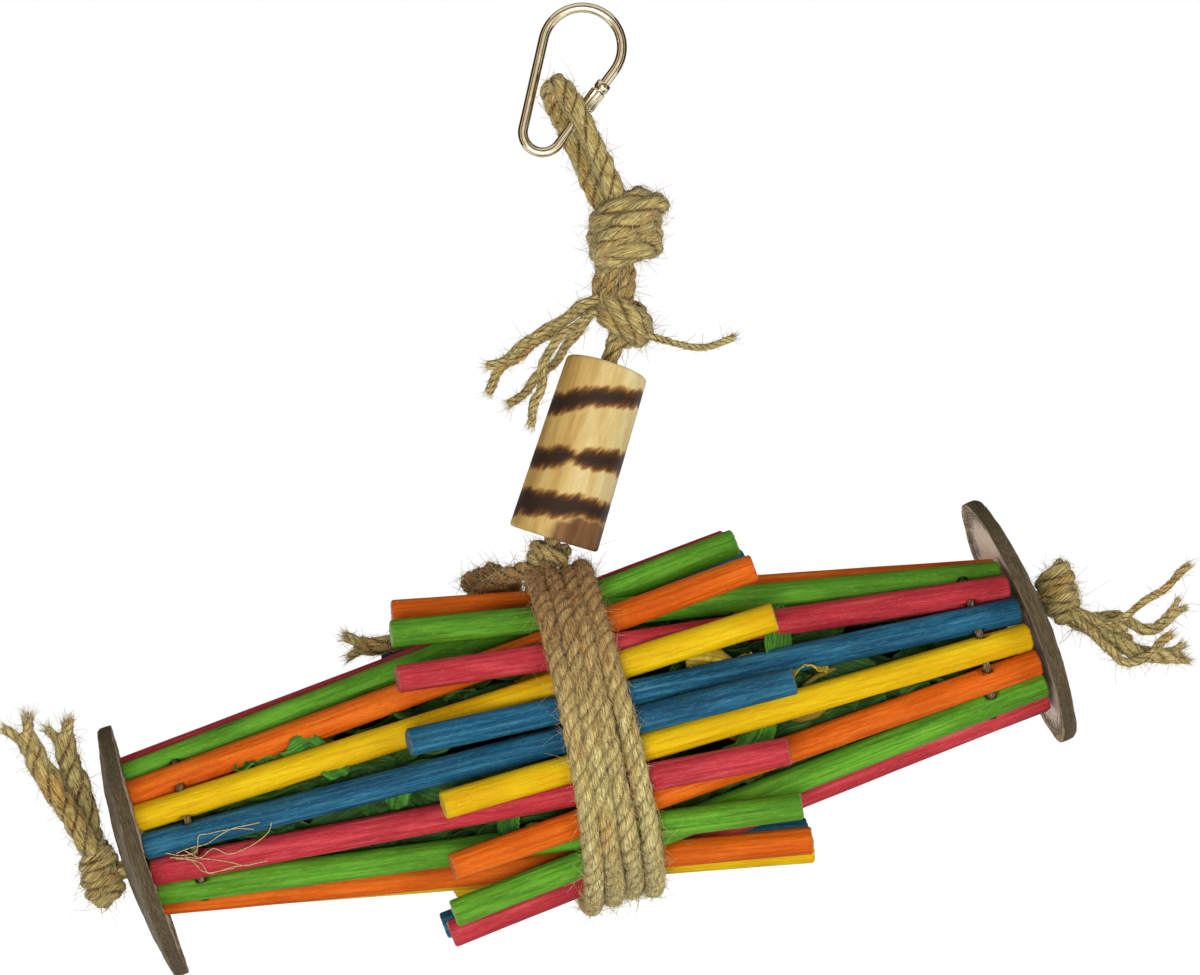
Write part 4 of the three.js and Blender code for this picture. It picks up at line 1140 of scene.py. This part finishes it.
def add_disc(name, disc, material, seed):
    """A shell that curves less from front to back, by a share, and whose front edge leans out."""
    rng = np.random.default_rng(seed)
    centre = to_world(disc_centre(disc))
    normal = barrel_turn @ disc_normal(disc)
    across, deep = square_to(normal)
    hole, rim = DISC_HOLE_DIAMETER / 2, DISC_DIAMETER / 2
    angle = circle(DISC_SIDES)
    uneven = sum(size * np.cos(waves * angle + start) for waves, start, size in RIM_WAVES)
    uneven = uneven + rng.normal(0, RIM_NICKS, DISC_SIDES)
    # Each ring: its radius, its level from the hollow face to the outer one, and 1 on the hollow face
    inner = [(hole + (rim - hole) * k / DISC_RINGS, 0, 1) for k in range(DISC_RINGS)]
    edge = [(rim - 0.5, 0.0, 1), (rim, 0.16, 0), (rim + 0.1, 0.5, 0), (rim, 0.84, 0), (rim - 0.6, 1.0, 0)]
    outer = [(radius, 1.0, 0) for radius, _, _ in inner[::-1]]
    rings = inner + edge + outer
    rows = []
    for radius, level, face in rings:
        share = radius / rim
        for turn, bulge in zip(angle, uneven):
            reach = radius * (1 + bulge * share**4)
            right, front = math.cos(turn), math.sin(turn)
            place = Vector((right * reach, front * reach, level * NOISE_APART))
            lumps = layered_noise(place, DISC_LUMPS)
            dish = DISC_SAGITTA * share**2 * (1 - disc.flatter * front**2)
            dish += math.tan(disc.lean) * reach * front
            height = level * (DISC_THICKNESS - DISC_THINNING) - dish
            height += lumps * HOLLOW_LUMPS + DISC_SINK if face else lumps - DISC_SINK
            point = centre + reach * (right * across + front * deep) + height * normal
            fringe = max(0, (share - FRINGE_START) / (1 - FRINGE_START))
            rows.append((point, (place.x, place.y, height * 3), face, fringe, 0 < level < 1))
    points, *values = zip(*rows)
    values = dict(zip(("grain", "inner", "rim", "edge"), values))
    piece = add_mesh(f"disc_{name}_shell", points, closed_faces(len(rings), DISC_SIDES), material, **values)
    dress(piece, f"{name}_disc", "shell", f"disc_{name}")


shell = shell_finish()
for seed, (name, disc) in enumerate(DISCS.items(), 400):
    add_disc(name, disc, shell, seed)

# Husk: crumpled ribbed leaf strips inside the dowels
LEAF_STEPS = 44
LEAF_RIBS = 13
LEAF_FACES = tube_faces(LEAF_STEPS, 2 * LEAF_RIBS)
LEAF_THICKNESS = 0.28
LEAF_CRUMPLE = 0.22
LEAF_WINDING = 26
LEAF_INNERMOST = 5
LEAF_LIMIT = 119
RIB_HEIGHT = 0.3
TIP_REACH = 4.6
# Station and height above the axis of each leaf tip that pokes out at the front
GREEN_TIPS = [(-91, 15.4), (-76, 12), (58, 16.5), (29, 7), (-27, -19), (-20, -24), (44, -11), (-48, -2)]
YELLOW_TIPS = [(42, 14), (59, 5)]


def dowel_circle(station):
    """Distance of the dowels' middles from the barrel's axis at a station."""
    reach = np.where(station < WRAP_STATION, HALF_BARREL + WRAP_STATION, HALF_BARREL - WRAP_STATION)
    share = np.clip(1 - np.abs(station - WRAP_STATION) / reach, 0, 1)
    outer, inner = middle_radius * share, ring_radius * (1 - share)
    return np.sqrt(outer**2 + inner**2 + 2 * outer * inner * math.cos(RING_TURN))


def leaf_rings(rng, station, angle, length, width, depth, skew):
    """Points of one strip, ring by ring, and its grain."""
    along = np.linspace(0, length, LEAF_STEPS)
    share = along / length
    stations = station + (along - length / 2) * math.cos(skew) + ripple(along, rng, (31, 17), 2.5)
    around = angle + (along - length / 2) * math.sin(skew) / LEAF_WINDING + ripple(along, rng, (43, 19), 0.13)
    sink = depth + np.abs(ripple(along, rng, (37, 21, 13), 3.6))
    radius = np.maximum(dowel_circle(stations) - dowel_radius - sink, LEAF_INNERMOST)
    centre = around_barrel(stations, radius, around)
    roll = ripple(along, rng, (61, 33), 0.9)
    outward = unit(centre * (0, 1, 1))
    run = unit(np.gradient(centre, axis=0))
    wide = turned(roll, unit(np.cross(run, outward)), outward)
    face = np.cross(wide, run)
    across = np.linspace(-1, 1, LEAF_RIBS)
    taper = np.clip(np.minimum(share, 1 - share) * 9, 0.35, 1)
    curl = ripple(along, rng, (23, 51), 1.8)
    ribs = RIB_HEIGHT * np.where(np.arange(LEAF_RIBS) % 2, 1, -1)
    crumple = rng.normal(0, LEAF_CRUMPLE, (LEAF_STEPS, LEAF_RIBS))
    lift = ribs + curl[:, None] * across**2 + crumple
    spread = (width / 2 * taper)[:, None] * across
    middle = centre[:, None] + spread[..., None] * wide[:, None] + lift[..., None] * face[:, None]
    half = LEAF_THICKNESS / 2 * face[:, None]
    rings = np.concatenate([middle + half, (middle - half)[:, ::-1]], axis=1)
    both = np.concatenate([spread, spread[:, ::-1]], axis=1)
    grain = stacked(along[:, None] * 0.1, both, rng.uniform(0, 200))
    return to_world(rings.reshape(-1, 3)), grain.reshape(-1, 3)


def add_leaves(name, leaves, slot, nodes, rng):
    """One object of leaf strips; those that don't poke out are darker, as painted shade."""
    parts = []
    for leaf in leaves:
        points, grain = leaf_rings(rng, *leaf)
        parts.append((points, LEAF_FACES, grain, np.full(len(points), leaf[4] > 0)))
    points, faces, grain, deep = joined(parts)
    dress(add_mesh(name, points, faces, husks[slot], grain=grain, deep=deep), "barrel", slot, *nodes)


def scattered_leaves(count, seed, depth):
    """Strips spread evenly round the barrel and at random along it."""
    rng = np.random.default_rng(seed)
    leaves = []
    for index in range(count):
        side = -1 if index % 2 else 1
        length = rng.uniform(40, 80)
        station = side * rng.uniform(length / 2, LEAF_LIMIT - length / 2)
        angle = TURN * (index + rng.uniform(-0.3, 0.3)) / count
        width, sink = rng.uniform(8, 13), depth + rng.uniform(0, 2)
        leaves.append((station, angle, length, width, sink, rng.normal(0, 0.3)))
    return leaves


def end_leaves(count, seed):
    """Short strips deep inside both ends of the barrel."""
    rng = np.random.default_rng(seed)
    leaves = []
    for index in range(count):
        station = (-1) ** index * rng.uniform(84, 102)
        angle = TURN * index / count + rng.uniform(-0.4, 0.4)
        size = rng.uniform(24, 32), rng.uniform(8, 11), rng.uniform(1, 7)
        leaves.append((station, angle, *size, rng.normal(0, 0.3)))
    return leaves


def leaf_tips(places, seed):
    """Short strips that poke out at the front."""
    rng = np.random.default_rng(seed)
    tips = []
    for station, height in places:
        angle = math.asin(height / (float(dowel_circle(station)) + 1))
        tips.append((station, angle, rng.uniform(16, 24), rng.uniform(7, 10), -TIP_REACH, rng.normal(0, 0.7)))
    return tips


def husk_finish(name, dark, middle, light):
    """Dry dyed leaf with fine ribs along it, and painted shade on the strips that lie deep."""
    f = finish(name, Roughness=0.7, Specular_IOR_Level=0.3)
    rib = f.noise((0.6, 2.6, 1))
    patch = f.noise((1, 0.2, 1), 0.9, 2)
    colour = f.ramp(rib, (0.3, dark), (0.52, middle), (0.75, light))
    colour = f.tint(colour, patch, 0.42, 0.68, 0.6, dark)
    # Painted shade on the strips that lie deep inside the barrel
    colour = f.mix(f.value("deep"), colour, (166, 166, 158), "MULTIPLY")
    return f.set(Base_Color=colour, Normal=f.bump(rib, 0.3))


husks = {
    "husk_green": husk_finish("husk_green", (26, 62, 14), (66, 132, 34), (122, 186, 66)),
    "husk_yellow": husk_finish("husk_yellow", (128, 104, 22), (196, 172, 48), (226, 208, 96)),
}
green_rng = np.random.default_rng(501)
yellow_rng = np.random.default_rng(511)
seen_leaves = end_leaves(26, 503) + leaf_tips(GREEN_TIPS, 502)
yellow_leaves = scattered_leaves(9, 510, 0.6) + leaf_tips(YELLOW_TIPS, 512)
add_leaves("husk_green", scattered_leaves(68, 500, 0.4), "husk_green", ["husk_strip_green"], green_rng)
add_leaves("husk_green_tips", seen_leaves, "husk_green", [], green_rng)
add_leaves("husk_yellow", yellow_leaves, "husk_yellow", ["husk_strip_yellow"], yellow_rng)

# Loose pale fibres caught between the dowels by the left disc
WISP_COUNT = 6
WISP_THICKNESS = 0.26
WISP_SIDES = 5
WISP_POINTS = 8
WISP_STRIDE = 4.4
WISP_STEP = 0.6
WISP_LIFT = 0.5
WISP_LIMIT = -91
WISP_HEIGHTS = (-13, -2)
# Ranges of a fibre's first station, height and heading; how it keeps its heading and how it curls
WISP_START = [(-123, -115), (-8, -4), (-0.7, 0.2)]
WISP_KEEP = 0.6
WISP_CURL = 0.6


def wisp_line(rng):
    """A curling line that lies on the front of the dowels."""
    station, height, heading = (rng.uniform(*span) for span in WISP_START)
    lowest, highest = WISP_HEIGHTS
    route = []
    for _ in range(WISP_POINTS):
        reach = float(dowel_circle(station)) + dowel_radius + WISP_LIFT
        route.append(around_barrel(station, reach, math.asin(height / reach)))
        station = min(station + WISP_STRIDE * math.cos(heading), WISP_LIMIT)
        height = min(max(height + WISP_STRIDE * math.sin(heading), lowest), highest)
        heading = WISP_KEEP * heading + rng.normal(0, WISP_CURL)
    return smooth(to_world(route), WISP_STEP)


wisp_rng = np.random.default_rng(521)
for index in range(WISP_COUNT):
    line = wisp_line(wisp_rng)
    wisp = swept(f"sisal_wisp_{index + 1}", line, np.full(len(line), WISP_THICKNESS / 2), WISP_SIDES, FUZZ)
    dress(wisp, "barrel", "jute")

# Quick link: bow radii are to the middle of the wire
LINK_WIRE = 2.8
LINK_BIG_BOW = 11.2
LINK_SMALL_BOW = 5.6
LINK_BOW_SPACING = 26.6
LINK_LEAN = math.radians(24.9)
GATE_UPPER_END = 7
GATE_GAP = 4.5
SLEEVE_LENGTH = 9
SLEEVE_OVERLAP = 1.8
SLEEVE_BORE = LINK_WIRE / 2 + 0.2
SLEEVE_OUTSIDE = LINK_WIRE / 2 + 0.8
SLEEVE_COLLAR = 0.68
SLEEVE_GROOVE = 0.45
WIRE_SIDES = 28
WIRE_STEP = 0.7
WIRE_ROUNDING = 0.6
WIRE_BLUNTNESS = 0.25
SLEEVE_SIDES = 96
FLUTES = 12
FLUTE_DEPTH = 0.3

link_down = np.array([-math.sin(LINK_LEAN), 0, -math.cos(LINK_LEAN)])
link_right = np.array([math.cos(LINK_LEAN), 0, -math.sin(LINK_LEAN)])
big_bow = np.array([0, 0, LINK_WIRE / 2 - LINK_BIG_BOW])
small_bow = big_bow + LINK_BOW_SPACING * link_down
side_angle = math.asin((LINK_BIG_BOW - LINK_SMALL_BOW) / LINK_BOW_SPACING)


def on_bow(centre, radius, angle):
    angle = np.asarray(angle)[..., None]
    return centre + radius * np.cos(angle) * link_right - radius * np.sin(angle) * link_down


gate_top = on_bow(big_bow, LINK_BIG_BOW, -side_angle)
gate_bottom = on_bow(small_bow, LINK_SMALL_BOW, -side_angle)
gate_down = unit(gate_bottom - gate_top)


def nickel_finish():
    """Bright plated wire with faint smears and hairline marks."""
    f = finish("nickel", Metallic=1.0)
    smear = f.noise(EVEN_GRAIN, 0.35)
    hair = f.noise((0.1, 3, 3), 2.0)
    colour = f.ramp(smear, (0.3, (196, 182, 150)), (0.7, (222, 210, 178)))
    rough = f.math("MULTIPLY_ADD", smear, 0.16, 0.03)
    return f.set(Base_Color=colour, Normal=f.bump(hair, 0.006, 0.06), Roughness=rough)


nickel = nickel_finish()


def add_link():
    big = on_bow(big_bow, LINK_BIG_BOW, np.linspace(-side_angle, math.pi + side_angle, 90))
    small = on_bow(small_bow, LINK_SMALL_BOW, np.linspace(math.pi + side_angle, TURN - side_angle, 50))
    upper_end = gate_top + GATE_UPPER_END * gate_down
    lower_end = upper_end + GATE_GAP * gate_down
    line = even(np.vstack([upper_end, big, small, lower_end]), WIRE_STEP)
    along = arc_lengths(line)
    from_end = np.minimum(along, along[-1] - along)
    radius = LINK_WIRE / 2 * np.sqrt(np.clip(from_end / WIRE_ROUNDING + WIRE_BLUNTNESS, 0, 1))
    dress(swept("link_wire_bright", line, radius, WIRE_SIDES, nickel), "link", "nickel", "link_wire")


def add_sleeve():
    foot = gate_top + (GATE_UPPER_END + GATE_GAP + SLEEVE_OVERLAP) * gate_down
    bore, outside = SLEEVE_BORE, SLEEVE_OUTSIDE
    collar = SLEEVE_LENGTH * SLEEVE_COLLAR
    groove = outside - SLEEVE_GROOVE
    head = SLEEVE_LENGTH
    # Each ring: its height, its radius and its share of the flutes' depth
    profile = np.array([
        (0.3, bore, 0), (0, bore + 0.2, 0), (0, outside - 0.3, 0), (0.3, outside, 0.5), (0.6, outside, 1),
        (collar - 0.4, outside, 1), (collar - 0.2, outside, 0.5), (collar, groove, 0),
        (collar + 0.5, groove, 0), (collar + 0.7, outside - 0.1, 0), (head - 0.3, outside - 0.1, 0),
        (head, outside - 0.4, 0), (head, bore + 0.1, 0), (head - 0.3, bore, 0),
    ])
    angle = circle(SLEEVE_SIDES)
    flute = FLUTE_DEPTH * (0.5 - 0.5 * np.cos(FLUTES * angle))
    reach = profile[:, 1:2] - profile[:, 2:] * flute
    ring = turned(angle, *square_to(-gate_down))
    points = foot - profile[:, :1, None] * gate_down + reach[..., None] * ring
    faces = closed_faces(len(profile), SLEEVE_SIDES)
    sleeve = add_mesh("link_sleeve_bright", points, faces, nickel, grain=points)
    dress(sleeve, "sleeve", "nickel", "link_sleeve")


add_link()
add_sleeve()

# Fuzz: felted fibres that hug the ropes, longer wisps, and brushes of fibres at the free ends
FIBRE_POINTS = 4
FIBRE_SIDES = 3
FIBRE_TAPER = 0.7
FELT = {"per_mm": 11, "out": (0.0, 0.22), "length": 2.8, "bend": 0.25, "thickness": 0.2}
WISPS = {"per_mm": 0.26, "out": (0.2, 1.1), "length": 2.2, "bend": 0.15, "thickness": 0.13}
# Ropes thinner than this have fewer fibres
FULL_FUZZ = 5
FIBRE_SLANT = 0.7
FIBRE_CURL = 0.3
FIBRE_ROOT = 0.46
FIBRE_SHORTEST = 0.6
FIBRE_THICKNESSES = (0.7, 1.4)
FRAY_THICKNESS = 0.18
FRAY_COUNT = 60
FRAY_SPREADS = (0.1, 0.7)
FRAY_LENGTHS = (0.4, 1.3)
FRAY_CURL = 0.25
FRAY_ROOT = 0.42
FUZZ_GRAIN = 0.6


def fibre_skin(starts, directions, lengths, bends, thickness):
    """Points and faces of thin tapering fibres."""
    share = np.linspace(0, 1, FIBRE_POINTS)[None, :, None]
    course = directions[:, None] * share + bends[:, None] * share**2
    line = starts[:, None] + lengths[:, None, None] * course
    helper = np.where(np.abs(directions[:, 1:2]) < UPRIGHT, [[0, 1, 0]], [[1, 0, 0]])
    side = unit(np.cross(directions, helper))
    up = np.cross(directions, side)
    radius = thickness[:, None, None, None] / 2 * (1 - FIBRE_TAPER * share[..., None])
    ring = turned(circle(FIBRE_SIDES)[None], side[:, None], up[:, None])
    points = line[:, :, None] + radius * ring[:, None]
    pattern = tube_faces(FIBRE_POINTS, FIBRE_SIDES)
    size = FIBRE_POINTS * FIBRE_SIDES
    faces = [[corner + size * index for corner in face] for index in range(len(starts)) for face in pattern]
    return points.reshape(-1, 3), faces


def rope_fibres(rng, line, diameter, per_mm, out, length, bend, thickness):
    """Starts, directions, lengths, bends and thicknesses of fibres that leave a rope's skin."""
    tangent, side, up = frames_along(line)
    count = int(per_mm * arc_lengths(line)[-1] * min(1, diameter / FULL_FUZZ)) + 1
    at = rng.integers(1, len(line) - 1, count)
    outward = turned(rng.uniform(0, TURN, count), side[at], up[at])
    around = np.cross(tangent[at], outward)
    lay = rng.normal(0, 1, (count, 1)) * tangent[at] + rng.normal(0, FIBRE_SLANT, (count, 1)) * around
    direction = unit(unit(lay) + rng.uniform(*out, (count, 1)) * outward)
    lengths = rng.gamma(3.0, length / 3, count) * min(1, 0.4 + diameter / 8) + FIBRE_SHORTEST
    bends = rng.normal(0, FIBRE_CURL, (count, 3)) - bend * outward
    starts = line[at] + outward * diameter * FIBRE_ROOT
    return starts, direction, lengths, bends, np.full(count, thickness)


def frayed_end(rng, line, diameter):
    """Fibres that spread out of a rope's free end."""
    tangent, side, up = (directions[-1] for directions in frames_along(line))
    angle = rng.uniform(0, TURN, FRAY_COUNT)
    outward = np.sqrt(rng.uniform(0, 1, FRAY_COUNT))[:, None] * turned(angle, side, up)
    direction = unit(tangent + outward * rng.uniform(*FRAY_SPREADS, FRAY_COUNT)[:, None])
    lengths = rng.uniform(*FRAY_LENGTHS, FRAY_COUNT) * diameter
    bends = rng.normal(0, FRAY_CURL, (FRAY_COUNT, 3))
    starts = line[-3] + outward * diameter * FRAY_ROOT
    return starts, direction, lengths, bends, np.full(FRAY_COUNT, FRAY_THICKNESS)


def fuzz(name, ropes, ends, seed, brown=None):
    """One object of the fibres on ropes and at free ends, each given by its line and diameter."""
    rng = np.random.default_rng(seed)
    parts = [rope_fibres(rng, *rope_line, **kind) for rope_line in ropes for kind in (FELT, WISPS)]
    parts += [frayed_end(rng, *end) for end in ends]
    *fibres, thickness = (np.concatenate(group) for group in zip(*parts))
    points, faces = fibre_skin(*fibres, thickness * rng.uniform(*FIBRE_THICKNESSES, len(thickness)))
    # Painted shade, as on the ropes, where brown is given
    tone = {"brown": brown(points)} if brown else {}
    return add_mesh(name, points, faces, FUZZ, grain=points * FUZZ_GRAIN, **tone)


for index, half in enumerate(np.array_split(even(wrap_line, ROPE_STEP), 2)):
    felt = fuzz(f"winding_fuzz_{index + 1}", [(half, DRESSED_CORD)], [], 610 + index, winding_painted_shade)
    dress(felt, "barrel", "jute")
for seed, (body, ropes) in enumerate(sorted(fuzz_ropes.items())):
    dress(fuzz(f"{body}_fuzz", ropes, free_ends.get(body, []), 600 + seed), body, "jute")
twist_with_neck(fuzz("neck_fuzz", [(line, NECK_STRAND) for line in neck_strands], [], 620, neck_painted_shade))
bend_to_barrel(fuzz("hitch_fuzz", [(hitch_line, HITCH_ROPE)], [], 621))

# Studio: a pale floor that stays white to the camera, and soft lamps in front and behind
WHITE = (255, 255, 255)
BLACK = (0, 0, 0)
FLOOR_HEIGHT = -600
FLOOR_HALF = 6000
FLOOR_SHARE = 0.75
FLOOR_GLOW = 0.88
AMBIENT = 0.29
LAMP_SIZE = 500
# Place and watts of each lamp
LAMPS = {
    "key": ((-120, -1250, -480), 13),
    "fill": ((800, -1100, 0), 5),
    "back": ((-1000, 1200, -450), 10),
    "back_right": ((1000, 1200, -450), 6),
}
# Upright glowing cards that only reflections see, which paint dark and golden reflections into the bright
# metal: two corners and a colour
FLAGS = {
    "back": ((-1500, 600, -580), (1500, 600, 1200), (40, 34, 28)),
    "left": ((-900, -300, -580), (-900, 600, 900), (78, 60, 36)),
    "front": ((-1500, -900, -580), (-420, -900, 900), (170, 130, 68)),
    "dark": ((420, -900, -580), (1500, -900, 900), (56, 46, 36)),
    "high": ((-420, -900, 320), (420, -900, 900), (100, 82, 56)),
    "right": ((900, -300, -580), (900, 600, 900), (84, 66, 42)),
}


def add_card(name, corners, f):
    card = add_mesh(name, corners, [[0, 1, 2, 3]], f.owner)
    return card


def add_lamp(name, place, watts):
    data = bpy.data.lights.new(name, "AREA")
    data.energy = watts
    data.size = LAMP_SIZE * MM
    lamp = bpy.data.objects.new(name, data)
    lamp.location = Vector(place) * MM
    aim = Vector(VIEW_CENTRE) * MM - lamp.location
    lamp.rotation_euler = aim.to_track_quat("-Z", "Y").to_euler()
    bpy.context.collection.objects.link(lamp)


def add_flag(name, low, high, colour):
    f = finish(name, Base_Color=BLACK, Specular_IOR_Level=0.0, Emission_Color=colour, Emission_Strength=1.0)
    card = add_card(name, [low, (*high[:2], low[2]), high, (*low[:2], high[2])], f)
    card.visible_camera = False
    card.visible_diffuse = False
    card.visible_transmission = False
    card.visible_shadow = False


floor = finish("floor", Roughness=0.9, Specular_IOR_Level=0.0, Emission_Color=WHITE)
floor.set(Base_Color=(FLOOR_SHARE, FLOOR_SHARE, FLOOR_SHARE, 1))
floor.set(Emission_Strength=floor.math("MULTIPLY", floor.seen_rays(), FLOOR_GLOW))
floor_corners = [(-1, -1), (1, -1), (1, 1), (-1, 1)]
add_card("floor", [(x * FLOOR_HALF, y * FLOOR_HALF, FLOOR_HEIGHT) for x, y in floor_corners], floor)
studio = Nodes(bpy.data.worlds.new("studio"), "Background", Color=WHITE)
glow = studio.node("MapRange", {"Value": studio.seen_rays(), "To Min": AMBIENT, "To Max": 1.0})[0]
bpy.context.scene.world = studio.set(Strength=glow)
for name, lamp in LAMPS.items():
    add_lamp(name, *lamp)
for name, flag in FLAGS.items():
    add_flag(f"flag_{name}", *flag)
bpy.context.scene.view_settings.view_transform = "Standard"
